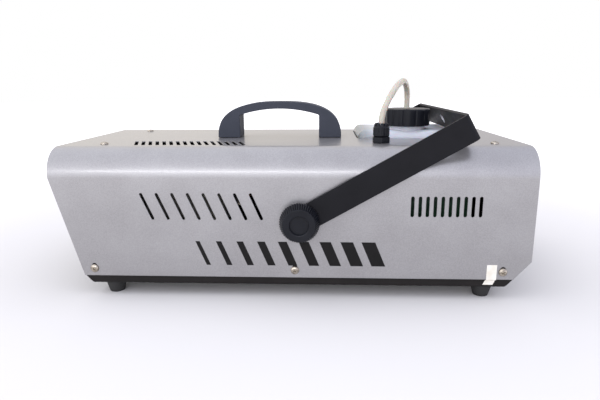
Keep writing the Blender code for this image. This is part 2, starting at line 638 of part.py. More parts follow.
# ---------------------------------------------------------------- heat side
def make_heater():
    low, high = HEATER_MIN, HEATER_MAX
    block("heater_block", low, high, "cast_aluminium", bevel=0.004, segments=1)
    margin = 0.0010
    inner_low = Vector((-1, low.y - margin, low.z - margin))
    inner_high = Vector((1, high.y + margin, high.z + margin))
    quilt = 0.009
    wrap = block("heater_wrap", (low.x + 0.009, inner_low.y - quilt, inner_low.z - quilt),
                 (high.x - 0.009, inner_high.y + quilt, inner_high.z + quilt), "glass_wool",
                 bevel=0.004, segments=2)
    cut(wrap, block("wrap_hollow", inner_low, inner_high))
    floor = TRAY_FLOOR + SHEET + GAP
    reach, back = 0.010, 0.0035
    for name, x in (("front", low.x + 0.0040), ("rear", high.x - 0.0040)):
        top = low.z - GAP - SHEET / 2
        foot = floor + SHEET / 2
        fold = [(x - back, top), (x + back, top), (x + back, foot), (x + back + reach, foot)]
        folded_sheet(f"heater_bracket_{name}", [(u, -0.028, z) for u, z in fold],
                     lambda point: (point.x, 0.028, point.z), "zinc")
    nozzle = [(0, 0.0345), (0.0036, 0.0345), (0.0052, 0.0320), (0.0052, 0.0160),
              (0.0085, 0.0160), (0.0085, 0.0060), (0.0065, 0.0060), (0.0065, GAP), (0, GAP)]
    piece = turned("nozzle", nozzle, "brass", (low.x, 0, NOZZLE_HEIGHT), "-X", 20)
    cut(piece, rod("nozzle_bore", 0.0014, (low.x - 0.04, 0, NOZZLE_HEIGHT), 0.030, "+X",
                   segments=10))
    lean = atan2(FRONT_LEAN, CASE_TOP - COVER_FOOT)
    face = cover_front(NOZZLE_HEIGHT) + FRONT_RECESS
    stand = (SHEET / 2 + GAP)
    ring = [(0.0150, 0.0018), (0.0150, 0), (0.0108, 0), (0.0108, 0.0018)]
    turned("nozzle_ring", ring, "nickel",
           (face - stand * cos(lean), 0, NOZZLE_HEIGHT - stand * sin(lean)),
           (0, -pi / 2 - lean, 0), 28, ring=True)
    disc = [(0, 0.0080), (0.0050, 0.0080), (0.0050, 0.0060), (0.0080, 0.0060), (0.0080, GAP),
            (0, GAP)]
    turned("thermostat", disc, "nickel", (high.x, -0.020, NOZZLE_HEIGHT), "+X", 20)
    rod("thermal_fuse", 0.0020, (high.x + 0.0024, -0.0060, 0.0880), 0.0120, "+Y",
        "nickel", segments=12)


# ---------------------------------------------------------------- electrics
def make_electronics():
    floor = TRAY_FLOOR + SHEET + GAP
    block("control_board", (0.092, -0.0740, floor), (0.178, -0.0724, 0.104), "circuit_board")
    block("relay", (0.142, -0.0721, 0.060), (0.170, -0.0570, 0.085), "black_plastic",
          bevel=0.001, segments=1)
    core = block("transformer", (0.096, -0.1040, floor), (0.136, -0.0880, 0.048), "zinc")
    join(core, block("transformer_coil", (0.104, -0.1065, 0.022), (0.128, -0.0780, 0.040),
                     bevel=0.002, segments=1))


def make_inlet():
    """A three-pin mains inlet, as a shell round a hollow with three flat pins."""
    y, z = INLET
    face = PANEL_X + SHEET / 2 + GAP
    shell = block("power_inlet", (face, y - 0.0155, z - 0.0118), (face + 0.0030, y + 0.0155,
                  z + 0.0118), "black_plastic", bevel=0.0008, segments=1)
    join(shell, block("inlet_body", (face - 0.0200, y - 0.0135, z - 0.0100),
                      (face + 0.0015, y + 0.0135, z + 0.0100)))
    cut(shell, block("inlet_socket", (face - 0.0150, y - 0.0120, z - 0.0085),
                     (face + 0.0100, y + 0.0120, z + 0.0085)))
    pins = [(-0.0070, -0.0030), (0.0070, -0.0030), (0.0, 0.0040)]
    for i, (dy, dz) in enumerate(pins):
        join(shell, block(f"inlet_pin_{i}", (face - 0.0165, y + dy - 0.0010, z + dz - 0.0020),
                          (face - 0.0020, y + dy + 0.0010, z + dz + 0.0020)))


def make_switch():
    y, z = SWITCH
    face = PANEL_X + SHEET / 2 + GAP
    frame = block("switch_frame", (face, y - 0.0076, z - 0.0107), (face + 0.0018, y + 0.0076,
                  z + 0.0107), "black_plastic")
    join(frame, block("switch_body", (face - 0.0160, y - 0.0065, z - 0.0096),
                      (face + 0.0010, y + 0.0065, z + 0.0096)))
    cut(frame, block("switch_pocket", (face - 0.0080, y - 0.0050, z - 0.0084),
                     (face + 0.0100, y + 0.0050, z + 0.0084)))
    # the two faces slope from a middle ridge, and it rests with its lower half pressed
    half, thin, rise = 0.0076, 0.0030, radians(11)
    outline = [(-0.0045, half * 0.55), (thin, half), (thin + 0.0018, 0), (thin, -half),
               (-0.0045, -half * 0.55)]
    rocker = outline_solid("switch_rocker", [outline], 0.0092, "black_plastic",
                           place=(face - 0.0008, y, z), turn=(pi / 2, rise, 0))
    return rocker


def make_fuse():
    y, z = FUSE
    face = PANEL_X + SHEET / 2 + GAP
    holder = [(0.0085, 0.0020), (0.0085, 0), (0.0060, 0), (0.0060, -0.0200), (0.0034, -0.0200),
              (0.0034, 0.0020)]
    turned("fuse_holder", holder, "black_plastic", (face, y, z), "+X", 20, ring=True)
    cap = [(0, 0.0085), (0.0060, 0.0085), (0.0070, 0.0075), (0.0070, 0.0023), (0.0031, 0.0023),
           (0.0031, -0.0080), (0, -0.0080)]
    piece = turned("fuse_cap", cap, "black_plastic", (face, y, z), "+X", 20)
    slot = face + 0.0070
    cut(piece, block("fuse_cap_slot", (slot, y - 0.0006, z - 0.0050), (slot + 0.005, y + 0.0006,
                     z + 0.0050)))


def make_remote_socket():
    """A round five-hole socket for a wired remote."""
    y, z = REMOTE
    face = PANEL_X + SHEET / 2 + GAP
    body = [(0, 0.0004), (0.0070, 0.0004), (0.0070, 0.0030), (0.0112, 0.0030), (0.0112, 0),
            (0.0082, 0), (0.0082, -0.0140), (0, -0.0140)]
    socket = turned("remote_socket", body, "nickel", (face, y, z), "+X", 24)
    for i in range(5):
        angle = radians(45 * i)
        cut(socket, rod(f"remote_pin_hole_{i}", 0.0008,
                        (face - 0.004, y + 0.0046 * cos(angle), z + 0.0046 * sin(angle) - 0.001),
                        0.010, "+X", segments=6))


make_top_cover()
make_base_tray()
make_end_panels(panel_core())
make_feet()
make_screws()
make_handle()
make_yoke()
make_pivots()
make_tank()
make_cap()
make_gland()
make_fluid_lines()
make_pump()
make_heater()
make_electronics()
make_inlet()
make_switch()
make_fuse()
make_remote_socket()
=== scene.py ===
import json
from math import atan2, cos, pi, radians, sin, sqrt, tan

import bmesh
import bpy
from mathutils import Matrix, Vector
from mathutils.geometry import interpolate_bezier


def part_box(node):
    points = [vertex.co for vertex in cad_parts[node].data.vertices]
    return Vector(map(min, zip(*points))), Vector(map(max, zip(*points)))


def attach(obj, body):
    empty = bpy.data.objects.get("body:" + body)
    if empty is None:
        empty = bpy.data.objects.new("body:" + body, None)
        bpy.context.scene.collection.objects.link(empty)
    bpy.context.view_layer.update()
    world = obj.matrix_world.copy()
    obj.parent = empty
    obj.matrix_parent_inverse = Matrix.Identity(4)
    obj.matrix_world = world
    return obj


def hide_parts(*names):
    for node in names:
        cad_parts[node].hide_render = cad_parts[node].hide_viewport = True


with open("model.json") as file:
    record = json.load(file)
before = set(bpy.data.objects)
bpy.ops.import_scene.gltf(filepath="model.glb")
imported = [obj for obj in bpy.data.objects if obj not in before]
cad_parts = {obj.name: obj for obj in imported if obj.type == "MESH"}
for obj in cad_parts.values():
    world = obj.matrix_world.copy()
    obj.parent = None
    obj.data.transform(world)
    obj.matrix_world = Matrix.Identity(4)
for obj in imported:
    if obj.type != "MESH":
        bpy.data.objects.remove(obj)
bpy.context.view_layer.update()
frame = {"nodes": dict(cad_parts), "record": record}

NODES = frame["nodes"]

# ---------------------------------------------------------------- sizes, in metres
CASE_LOW, CASE_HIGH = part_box("top_cover")
CASE_FRONT, CASE_REAR, CASE_SIDE, CASE_TOP = CASE_LOW.x, CASE_HIGH.x, CASE_HIGH.y, CASE_HIGH.z
COVER_FOOT = CASE_LOW.z
SHEET = 0.0012
GAP = 0.0003
BEND_RADIUS = 0.027        # outside radius of the cover's long bends
FRONT_LEAN = 0.027         # how far the cover's front edge leans forward at the top
FRONT_BOW = 0.0050         # how far it stands ahead of a straight line at the foot of its bend
REAR_CHAMFER = (0.0155, 0.0175)
FRONT_RECESS = 0.022       # front panel behind the straight line of the cover's front edge
SLOT_LEAN = 0.0098         # how far a slanted slot's two ends are apart on X
SLANTED_SLOTS = [-0.1369 + 0.01464 * i for i in range(8)]      # their places on X
UPRIGHT_SLOTS = [0.1138 + 0.00682 * i for i in range(10)]
TOP_SLOTS = [-0.1500 + 0.00705 * i for i in range(16)]
SMALL_BEND = 0.0020        # the tray's and the panels' bends
EDGE = 0.00018             # rounding of a cut sheet's edges

PIVOT = sum(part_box("knob_stud_near"), Vector()) / 2
PIVOT.y = 0
YOKE_TILT = radians(29.6)
YOKE_BAR = (0.024, 0.003)  # its width and thickness
YOKE_HALF_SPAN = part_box("yoke_bracket")[1].y
YOKE_REACH = 0.176         # from the pivot to the crossbar's outer face
KNOB_BACK, KNOB_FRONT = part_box("knob_far")[0].y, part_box("knob_far")[1].y
KNOB_RADIUS = (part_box("knob_far")[1].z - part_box("knob_far")[0].z) / 2
KNOB_FACE_RADIUS = 0.0155
KNOB_TEETH = 50
KNURL_DEPTH = 0.0013

CAP_LOW, CAP_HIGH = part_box("tank_cap")
CAP_MIDDLE = (CAP_LOW + CAP_HIGH) / 2
CAP_RADIUS = (CAP_HIGH.x - CAP_LOW.x) / 2
CAP_FLUTES = 12
CAP_AXIS = Matrix.Translation((CAP_MIDDLE.x, CAP_MIDDLE.y, 0))
TUBE_RADIUS = 0.0030


def middle(node):
    low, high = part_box(node)
    return (low + high) / 2


GLAND, NOZZLE, INLET = middle("gland_dome_nut"), middle("nozzle"), middle("power_inlet")
SWITCH, FUSE, REMOTE = middle("switch_frame"), middle("fuse_holder"), middle("remote_socket")
PANEL_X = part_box("rear_panel")[1].x - SHEET / 2
PANEL_FACE = PANEL_X + SHEET / 2 + GAP

# ---------------------------------------------------------------- camera
CAMERA_PLACE = Vector((0.03338, -0.56132, 0.20114))
CAMERA_YAW, CAMERA_PITCH, CAMERA_ROLL = radians(-2.81), radians(13.1), radians(-0.41)
CAMERA_LENS = 30.31        # on a 36 mm wide sensor


def make_camera():
    camera = bpy.data.objects.new("camera", bpy.data.cameras.new("camera"))
    camera.data.lens, camera.data.sensor_width = CAMERA_LENS, 36.0
    camera.data.clip_start = 0.01
    ahead = Vector((sin(CAMERA_YAW) * cos(CAMERA_PITCH), cos(CAMERA_YAW) * cos(CAMERA_PITCH),
                    -sin(CAMERA_PITCH)))
    level = Vector((cos(CAMERA_YAW), -sin(CAMERA_YAW), 0))
    upright = level.cross(ahead)
    across = level * cos(CAMERA_ROLL) + upright * sin(CAMERA_ROLL)
    up = -level * sin(CAMERA_ROLL) + upright * cos(CAMERA_ROLL)
    turn = Matrix((across, up, -ahead)).transposed().to_4x4()
    camera.matrix_world = Matrix.Translation(CAMERA_PLACE) @ turn
    bpy.context.scene.collection.objects.link(camera)
    bpy.context.scene.camera = camera


make_camera()


# ---------------------------------------------------------------- finishes
def finish(name, light, dark, roughness, blotch=35, grain=900, depth=0.00004, flake=0.0,
           end=None, **sockets):
    """A finish with blotches between two colours, uneven gloss and a fine grain in its surface.

    blotch and grain are how many features there are in a metre, and depth is the grain's height.
    flake is how strongly small cells of metal flake lighten and darken the colour.
    end is painted shade for one end of the piece: a darker colour, and the two places on X between which
    it fades out.
    """
    made = bpy.data.materials.new(name)
    made.use_nodes = True
    nodes, links = made.node_tree.nodes, made.node_tree.links
    shader = nodes["Principled BSDF"]
    place = nodes.new("ShaderNodeTexCoord")

    def texture(kind, scale, detail=None):
        node = nodes.new(kind)
        node.inputs["Scale"].default_value = scale
        if detail is not None:
            node.inputs["Detail"].default_value = detail
        links.new(place.outputs["Object"], node.inputs["Vector"])
        return node

    clouds = texture("ShaderNodeTexNoise", blotch, 4)
    spread = nodes.new("ShaderNodeMapRange")
    spread.inputs["From Min"].default_value = 0.3
    spread.inputs["From Max"].default_value = 0.7
    links.new(clouds.outputs["Fac"], spread.inputs["Value"])
    colour = nodes.new("ShaderNodeMix")
    colour.data_type = "RGBA"
    colour.inputs["A"].default_value = (*dark, 1)
    colour.inputs["B"].default_value = (*light, 1)
    links.new(spread.outputs["Result"], colour.inputs["Factor"])
    tinted = colour.outputs["Result"]
    fine = texture("ShaderNodeTexNoise", grain, 2)
    if flake:
        cells = texture("ShaderNodeTexVoronoi", grain * 1.6)
        speckle = nodes.new("ShaderNodeMix")
        speckle.data_type, speckle.blend_type = "RGBA", "OVERLAY"
        speckle.inputs["Factor"].default_value = flake
        links.new(tinted, speckle.inputs["A"])
        grey = nodes.new("ShaderNodeRGBToBW")
        links.new(cells.outputs["Color"], grey.inputs["Color"])
        links.new(grey.outputs["Val"], speckle.inputs["B"])
        tinted = speckle.outputs["Result"]
    # painted shade: a darker colour mixed in towards one end of the piece along X
    if end:
        along = nodes.new("ShaderNodeSeparateXYZ")
        links.new(place.outputs["Object"], along.inputs["Vector"])
        fade = nodes.new("ShaderNodeMapRange")
        fade.interpolation_type = "SMOOTHSTEP"
        fade.inputs["From Min"].default_value, fade.inputs["From Max"].default_value = end[1:]
        links.new(along.outputs["X"], fade.inputs["Value"])
        shade = nodes.new("ShaderNodeMix")
        shade.data_type = "RGBA"
        shade.inputs["A"].default_value = (*end[0], 1)
        links.new(tinted, shade.inputs["B"])
        links.new(fade.outputs["Result"], shade.inputs["Factor"])
        tinted = shade.outputs["Result"]
    links.new(tinted, shader.inputs["Base Color"])
    gloss = nodes.new("ShaderNodeMapRange")
    gloss.inputs["To Min"].default_value = roughness * 0.82
    gloss.inputs["To Max"].default_value = min(1.0, roughness * 1.18)
    links.new(clouds.outputs["Fac"], gloss.inputs["Value"])
    links.new(gloss.outputs["Result"], shader.inputs["Roughness"])
    bump = nodes.new("ShaderNodeBump")
    bump.inputs["Distance"].default_value = depth
    links.new(fine.outputs["Fac"], bump.inputs["Height"])
    links.new(bump.outputs["Normal"], shader.inputs["Normal"])
    for socket, value in sockets.items():
        shader.inputs[socket.replace("_", " ")].default_value = value
    return made


FINISHES = {
    "silver_paint": finish(
        "silver_paint", (0.335, 0.325, 0.326), (0.306, 0.296, 0.297), 0.34, blotch=30, grain=900,
        depth=0.000012, flake=0.10, Metallic=0.62, Coat_Weight=0.35, Coat_Roughness=0.10),
    "black_paint": finish(
        "black_paint", (0.0075, 0.0072, 0.0090), (0.0052, 0.0050, 0.0064), 0.50, blotch=60,
        grain=1400, depth=0.00003, Specular_IOR_Level=0.14),
    "slate_plastic": finish(
        "slate_plastic", (0.040, 0.044, 0.058), (0.032, 0.036, 0.048), 0.60, blotch=80,
        grain=1800, depth=0.00003, Specular_IOR_Level=0.25),
    "black_plastic": finish(
        "black_plastic", (0.0075, 0.0082, 0.0115), (0.0052, 0.0057, 0.0082), 0.36, blotch=90,
        grain=1800, depth=0.00002, Specular_IOR_Level=0.20),
    "black_rubber": finish(
        "black_rubber", (0.022, 0.021, 0.020), (0.014, 0.0135, 0.013), 0.75, blotch=120,
        grain=1500, depth=0.00006),
    # the tank's left end, its nose, gets painted shade: a darker grey that fades out by x = 0.096
    "tank_plastic": finish(
        "tank_plastic", (0.62, 0.63, 0.68), (0.54, 0.55, 0.59), 0.30, blotch=25, grain=500,
        depth=0.00004, end=((0.20, 0.215, 0.215), 0.068, 0.096), Subsurface_Weight=0.20,
        Subsurface_Scale=0.002),
    "silicone": finish(
        "silicone", (0.53, 0.485, 0.405), (0.47, 0.430, 0.355), 0.32, blotch=120, grain=700,
        depth=0.00003, Subsurface_Weight=0.35, Subsurface_Scale=0.003,
        Transmission_Weight=0.08, IOR=1.41),
    "nickel": finish(
        "nickel", (0.56, 0.50, 0.42), (0.24, 0.205, 0.16), 0.22, blotch=420, grain=2500,
        depth=0.00001, Metallic=1.0),
    "zinc": finish(
        "zinc", (0.55, 0.55, 0.57), (0.42, 0.42, 0.44), 0.38, blotch=200, grain=1500,
        depth=0.00002, Metallic=1.0),
    "cast_aluminium": finish(
        "cast_aluminium", (0.58, 0.58, 0.59), (0.44, 0.44, 0.45), 0.52, blotch=90, grain=700,
        depth=0.00012, Metallic=1.0),
    "brass": finish(
        "brass", (0.66, 0.48, 0.18), (0.50, 0.35, 0.13), 0.28, blotch=200, grain=1800,
        depth=0.00001, Metallic=1.0),
    "copper": finish(
        "copper", (0.74, 0.36, 0.22), (0.52, 0.25, 0.16), 0.32, blotch=150, grain=1500,
        depth=0.00001, Metallic=1.0),
    "glass_wool": finish(
        "glass_wool", (0.34, 0.32, 0.27), (0.22, 0.20, 0.165), 0.95, blotch=220, grain=1200,
        depth=0.00030, Sheen_Weight=0.4),
    "circuit_board": finish(
        "circuit_board", (0.012, 0.070, 0.030), (0.008, 0.050, 0.020), 0.45, blotch=160,
        grain=1200, depth=0.00003),
}
PRINT = finish("printed_ink", (0.0080, 0.0070, 0.0070), (0.0055, 0.0050, 0.0050), 0.50, blotch=90,
               grain=1400, depth=0.00001, Specular_IOR_Level=0.15)
TRAY_PAINT = finish("tray_paint", (0.0125, 0.0105, 0.0098), (0.0085, 0.0072, 0.0066), 0.50,
                    blotch=45, grain=1300, depth=0.00003, Specular_IOR_Level=0.18)
PAPER = finish("paper_seal", (0.80, 0.77, 0.70), (0.70, 0.65, 0.55), 0.70, blotch=140,
               grain=900, depth=0.00003)
SEAL = finish("grey_seal", (0.42, 0.42, 0.44), (0.34, 0.34, 0.36), 0.55, blotch=250,
              grain=1500, depth=0.00002)
MARK = finish("white_mark", (0.80, 0.80, 0.78), (0.70, 0.70, 0.68), 0.50, blotch=300,
              grain=1500, depth=0.00001)

for subpart in frame["record"]["subparts"]:
    node = NODES[subpart["node"]]
    node.data.materials.clear()
    node.data.materials.append(FINISHES[subpart["material_slot"]])


# ---------------------------------------------------------------- shapes
def add(name, shape, matrix=None):
    """An object in the scene from a bmesh, which is freed."""
    bmesh.ops.recalc_face_normals(shape, faces=shape.faces)
    mesh = bpy.data.meshes.new(name)
    shape.to_mesh(mesh)
    shape.free()
    if matrix is not None:
        mesh.transform(matrix)
    obj = bpy.data.objects.new(name, mesh)
    bpy.context.scene.collection.objects.link(obj)
    return obj


def flatten(obj):
    """Applies the object's modifiers to its mesh."""
    bpy.context.view_layer.update()
    depsgraph = bpy.context.evaluated_depsgraph_get()
    mesh = bpy.data.meshes.new_from_object(obj.evaluated_get(depsgraph))
    obj.modifiers.clear()
    obj.data = mesh
    return obj


def combine(obj, operation, *others):
    """Joins, cuts or trims the object with others, which are then removed."""
    for other in others:
        step = obj.modifiers.new("combine", "BOOLEAN")
        step.operation, step.object, step.solver = operation, other, "EXACT"
    flatten(obj)
    for other in others:
        bpy.data.objects.remove(other, do_unlink=True)
    return obj


def soften(obj, width, segments=2, angle=32):
    """Rounds the object's sharp edges and smooths its shading."""
    if width:
        rounding = obj.modifiers.new("rounded_edges", "BEVEL")
        rounding.width, rounding.segments = width, segments
        rounding.limit_method, rounding.angle_limit = "ANGLE", radians(angle)
        rounding.use_clamp_overlap = True
        flatten(obj)
    obj.data.shade_smooth()
    obj.data.set_sharp_from_angle(angle=radians(angle))
    obj.modifiers.new("even_shading", "WEIGHTED_NORMAL").keep_sharp = True
    return obj


def show(obj, body, slot, *replaced, material=None):
    """Gives a piece its finish, its body and the CAD nodes that it stands for."""
    obj.data.materials.clear()
    obj.data.materials.append(material or FINISHES[slot])
    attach(obj, body)
    if replaced:
        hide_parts(*replaced)
    return obj


def arc(centre, radius, start, end, steps):
    """Points on an arc, with its angles in degrees."""
    angles = [radians(start + (end - start) * i / steps) for i in range(steps + 1)]
    return [(centre[0] + radius * cos(a), centre[1] + radius * sin(a)) for a in angles]


def rounded(points, radius, steps=4, closed=False):
    """A line of 2D points with an arc in place of each corner."""
    made = []
    for i, point in enumerate(points):
        here = Vector(point)
        size = radius[i] if isinstance(radius, (list, tuple)) else radius
        if not size or (not closed and i in (0, len(points) - 1)):
            made.append(here)
            continue
        back = Vector(points[i - 1]) - here
        ahead = Vector(points[(i + 1) % len(points)]) - here
        half = back.angle(ahead) / 2
        sweep = pi - 2 * half
        if sweep < 0.01:
            made.append(here)
            continue
        reach = min(size / tan(half), 0.49 * back.length, 0.49 * ahead.length)
        centre = here + (back.normalized() + ahead.normalized()).normalized() * reach / cos(half)
        start, end = (here + way.normalized() * reach - centre for way in (back, ahead))
        for k in range(steps + 1):
            part = k / steps
            made.append(centre + (start * sin((1 - part) * sweep) + end * sin(part * sweep))
                        / sin(sweep))
    return [tuple(p) for p in made]


def stadium(start, end, width, steps=6):
    """The outline of a slot with round ends, between the centres of its ends."""
    heading = atan2(end[1] - start[1], end[0] - start[0]) * 180 / pi
    return (arc(end, width / 2, heading - 90, heading + 90, steps)
            + arc(start, width / 2, heading + 90, heading + 270, steps))


def prism(name, outlines, low, high, matrix=None):
    """Flat outlines in X and Y, raised between two heights."""
    shape = bmesh.new()
    for outline in outlines:
        bottom = [shape.verts.new((x, y, low)) for x, y in outline]
        top = [shape.verts.new((x, y, high)) for x, y in outline]
        shape.faces.new(bottom[::-1])
        shape.faces.new(top)
        for i, corner in enumerate(bottom):
            follows = (i + 1) % len(bottom)
            shape.faces.new((corner, bottom[follows], top[follows], top[i]))
    return add(name, shape, matrix)


def disc(name, radius, low, high, matrix=None, segments=48):
    return prism(name, [arc((0, 0), radius, 0, 360, segments)[:-1]], low, high, matrix)


def block(name, low, high, radius=0.0, steps=3):
    """A box between two corners, with every edge rounded where a radius is given."""
    low, high = Vector(low), Vector(high)
    shape = bmesh.new()
    bmesh.ops.create_cube(shape, size=1.0, matrix=Matrix.Translation((low + high) / 2)
                          @ Matrix.Diagonal((*(high - low), 1.0)))
    if radius:
        bmesh.ops.bevel(shape, geom=shape.edges[:], offset=radius, segments=steps,
                        profile=0.5, affect="EDGES")
    return add(name, shape)


def turned(name, profile, segments=64, ring=False, ripple=None, matrix=None):
    """A profile of (radius, height) points turned about Z. A ripple moves a point by its angle.

    A ring's profile closes on itself, and any other is capped flat at its two ends.
    """
    shape = bmesh.new()
    rings = []
    for radius, height in profile:
        circle = []
        for i in range(segments):
            angle = 2 * pi * i / segments
            r, h = ripple(radius, height, angle) if ripple else (radius, height)
            circle.append(shape.verts.new((r * cos(angle), r * sin(angle), h)))
        rings.append(circle)
    for above, below in zip(rings, rings[1:] + rings[:1] if ring else rings[1:]):
        for i in range(segments):
            follows = (i + 1) % segments
            shape.faces.new((above[i], above[follows], below[follows], below[i]))
    if not ring:
        shape.faces.new(rings[0])
        shape.faces.new(rings[-1][::-1])
    return add(name, shape, matrix)


def bent_sheet(name, line, place, thickness=SHEET):
    """A bar or sheet bent along a line of 2D points. place gives the two 3D ends of a point."""
    points = [Vector(p) for p in line]
    ways = [(b - a).normalized() for a, b in zip(points, points[1:])]
    offset = []
    for i in range(len(points)):
        before, after = ways[max(0, i - 1)], ways[min(i, len(ways) - 1)]
        sides = [Vector((-way.y, way.x)) for way in (before, after)]
        mitre = (sides[0] + sides[1]).normalized()
        offset.append(mitre * thickness / 2 / mitre.dot(sides[0]))
    shape = bmesh.new()
    faces = []
    for side in (1, -1):
        pairs = [place(p + side * o, p) for p, o in zip(points, offset)]
        faces.append([[shape.verts.new(end) for end in pair] for pair in pairs])
    outer, inner = faces
    for i in range(len(points) - 1):
        j = i + 1
        shape.faces.new((outer[i][0], outer[j][0], outer[j][1], outer[i][1]))
        shape.faces.new((inner[i][0], inner[i][1], inner[j][1], inner[j][0]))
        for end in (0, 1):
            shape.faces.new((outer[i][end], inner[i][end], inner[j][end], outer[j][end]))
    for i in (0, -1):
        shape.faces.new((outer[i][0], outer[i][1], inner[i][1], inner[i][0]))
    return add(name, shape)


def wire(name, points, radius, resolution, closed=False):
    """A round wire or tube along a line of 3D points."""
    curve = bpy.data.curves.new(name, "CURVE")
    curve.dimensions, curve.bevel_depth, curve.bevel_resolution = "3D", radius, resolution
    curve.use_fill_caps = not closed
    spline = curve.splines.new("POLY")
    spline.use_cyclic_u, spline.use_smooth = closed, True
    spline.points.add(len(points) - 1)
    for point, place in zip(spline.points, points):
        point.co = (*place, 1)
    obj = bpy.data.objects.new(name, curve)
    bpy.context.scene.collection.objects.link(obj)
    return obj


def facing(direction, place):
    """A matrix that turns +Z to a direction and moves to a place."""
    return Matrix.Translation(place) @ Vector(direction).to_track_quat("Z", "Y").to_matrix().to_4x4()


def cover_front(z):
    """A straight line from the cover's front edge at its foot to the one at its top."""
    return CASE_FRONT + FRONT_LEAN * (CASE_TOP - z) / (CASE_TOP - COVER_FOOT)


def cover_edge(z):
    """The front edge with its bow, which is greatest where the side meets its bend."""
    crest = CASE_TOP - BEND_RADIUS
    share = (z - COVER_FOOT) / (crest - COVER_FOOT) if z < crest else (CASE_TOP - z) / BEND_RADIUS
    return cover_front(z) - FRONT_BOW * share


# ---------------------------------------------------------------- casing
SIDE_SCREWS = [n for n in NODES if n.startswith("side_screw")]
TOP_SCREWS = [n for n in NODES if n.startswith("top_screw")]


def make_cover():
    """The folded cover, with its slots, its screw holes and the tank's opening."""
    chamfer_x, chamfer_z = REAR_CHAMFER
    side, top = CASE_SIDE - SHEET / 2, CASE_TOP - SHEET / 2
    line = rounded(
        [(-side, COVER_FOOT), (-side, COVER_FOOT + chamfer_z), (-side, top), (side, top),
         (side, COVER_FOOT + chamfer_z), (side, COVER_FOOT)],
        [0, 0, BEND_RADIUS - SHEET / 2, BEND_RADIUS - SHEET / 2, 0, 0], steps=20)

    def ends(point, _):
        above = min(1.0, (point.y - COVER_FOOT) / chamfer_z)
        return ((cover_edge(point.y), point.x, point.y),
                (CASE_REAR - chamfer_x * (1 - above), point.x, point.y))

    cover = bent_sheet("cover_shell", line, ends)
    slanted = [stadium((x, 0.1008), (x + SLOT_LEAN, 0.0780), 0.0028) for x in SLANTED_SLOTS]
    upright = [stadium((x, 0.0982), (x, 0.0820), 0.0031) for x in UPRIGHT_SLOTS]
    across = Matrix.Rotation(pi / 2, 4, "X")
    side_slots = prism("side_slots", slanted + upright, -0.13, 0.13, across)
    # the side screws' holes reach above their heads
    screw_slots = prism(
        "screw_slots", [stadium((middle(n).x, middle(n).z), (middle(n).x, middle(n).z + 0.0026),
                                0.0050) for n in SIDE_SCREWS if n.endswith("near")],
        -0.13, 0.13, across)
    top_slots = prism(
        "top_slots", [stadium((x, -0.0782), (x - SLOT_LEAN, -0.0480), 0.0034) for x in TOP_SLOTS],
        CASE_TOP - 0.01, CASE_TOP + 0.01)
    opening = prism("tank_opening", [rounded(
        [(0.0682, -0.0248), (0.1888, -0.0248), (0.1888, 0.0678), (0.0682, 0.0678)], 0.0084,
        steps=8, closed=True)], CASE_TOP - 0.01, CASE_TOP + 0.01)
    combine(cover, "DIFFERENCE", side_slots, screw_slots, top_slots, opening)
    show(soften(cover, EDGE, 1), "root", "silver_paint", "top_cover")


def make_tray():
    """The folded base tray, whose ends slant inwards below the cover."""
    low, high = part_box("base_tray")
    side, floor = high.y - SHEET / 2, low.z + SHEET / 2
    slant = 0.007
    line = rounded(
        [(-side, high.z), (-side, COVER_FOOT), (-side, floor), (side, floor),
         (side, COVER_FOOT), (side, high.z)], [0, 0, SMALL_BEND, SMALL_BEND, 0, 0], steps=5)

    def ends(point, _):
        inset = slant * (1 - min(1.0, max(0.0, (point.y - floor) / (COVER_FOOT - floor))))
        return (low.x + inset, point.x, point.y), (high.x - inset, point.x, point.y)

    tray = bent_sheet("tray_shell", line, ends)
    show(soften(tray, EDGE, 1), "root", "black_paint", "base_tray", material=TRAY_PAINT)


def make_panels():
    """The two end panels, folded at their tops and trimmed to the room inside the cover."""
    for name, replaced in (("front", "front_panel"), ("rear", "rear_panel")):
        low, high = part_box(replaced)
        foot, top = low.z, high.z - SHEET / 2
        if name == "front":
            upper, lower = cover_front(top) + FRONT_RECESS, cover_front(foot) + FRONT_RECESS
            line = [(high.x, top), (upper, top), (lower, foot)]
        else:
            bend = COVER_FOOT + REAR_CHAMFER[1]
            lower = PANEL_X - (bend - foot) * REAR_CHAMFER[0] / REAR_CHAMFER[1]
            line = [(low.x, top), (PANEL_X, top), (PANEL_X, bend), (lower, foot)]
        panel = bent_sheet(f"{name}_sheet", rounded(line, SMALL_BEND, steps=5),
                           lambda p, _: ((p.x, -CASE_SIDE, p.y), (p.x, CASE_SIDE, p.y)))
        corner = BEND_RADIUS - SHEET
        core = prism("core", [rounded(
            [(-high.y, -0.01), (high.y, -0.01), (high.y, high.z), (-high.y, high.z)],
            [0, 0, corner, corner], steps=20, closed=True)], -CASE_REAR, CASE_REAR,
            Matrix(((0, 0, 1, 0), (1, 0, 0, 0), (0, 1, 0, 0), (0, 0, 0, 1))))
        combine(panel, "INTERSECT", core)
        if name == "front":
            holes = [disc("hole", 0.0105, -0.24, -0.18,
                          facing((1, 0, 0), (0, 0, NOZZLE.z)))]
        else:
            start, end = 0.19, 0.22
            holes = [block("hole", (start, spot.y - wide, spot.z - tall),
                           (end, spot.y + wide, spot.z + tall))
                     for spot, wide, tall in ((INLET, 0.0138, 0.0103), (SWITCH, 0.0068, 0.0099))]
            holes += [disc("hole", radius, start, end, facing((1, 0, 0), (0, spot.y, spot.z)))
                      for spot, radius in ((FUSE, 0.0063), (REMOTE, 0.0085))]
        combine(panel, "DIFFERENCE", *holes)
        show(soften(panel, EDGE, 1), "root", "black_paint", replaced)


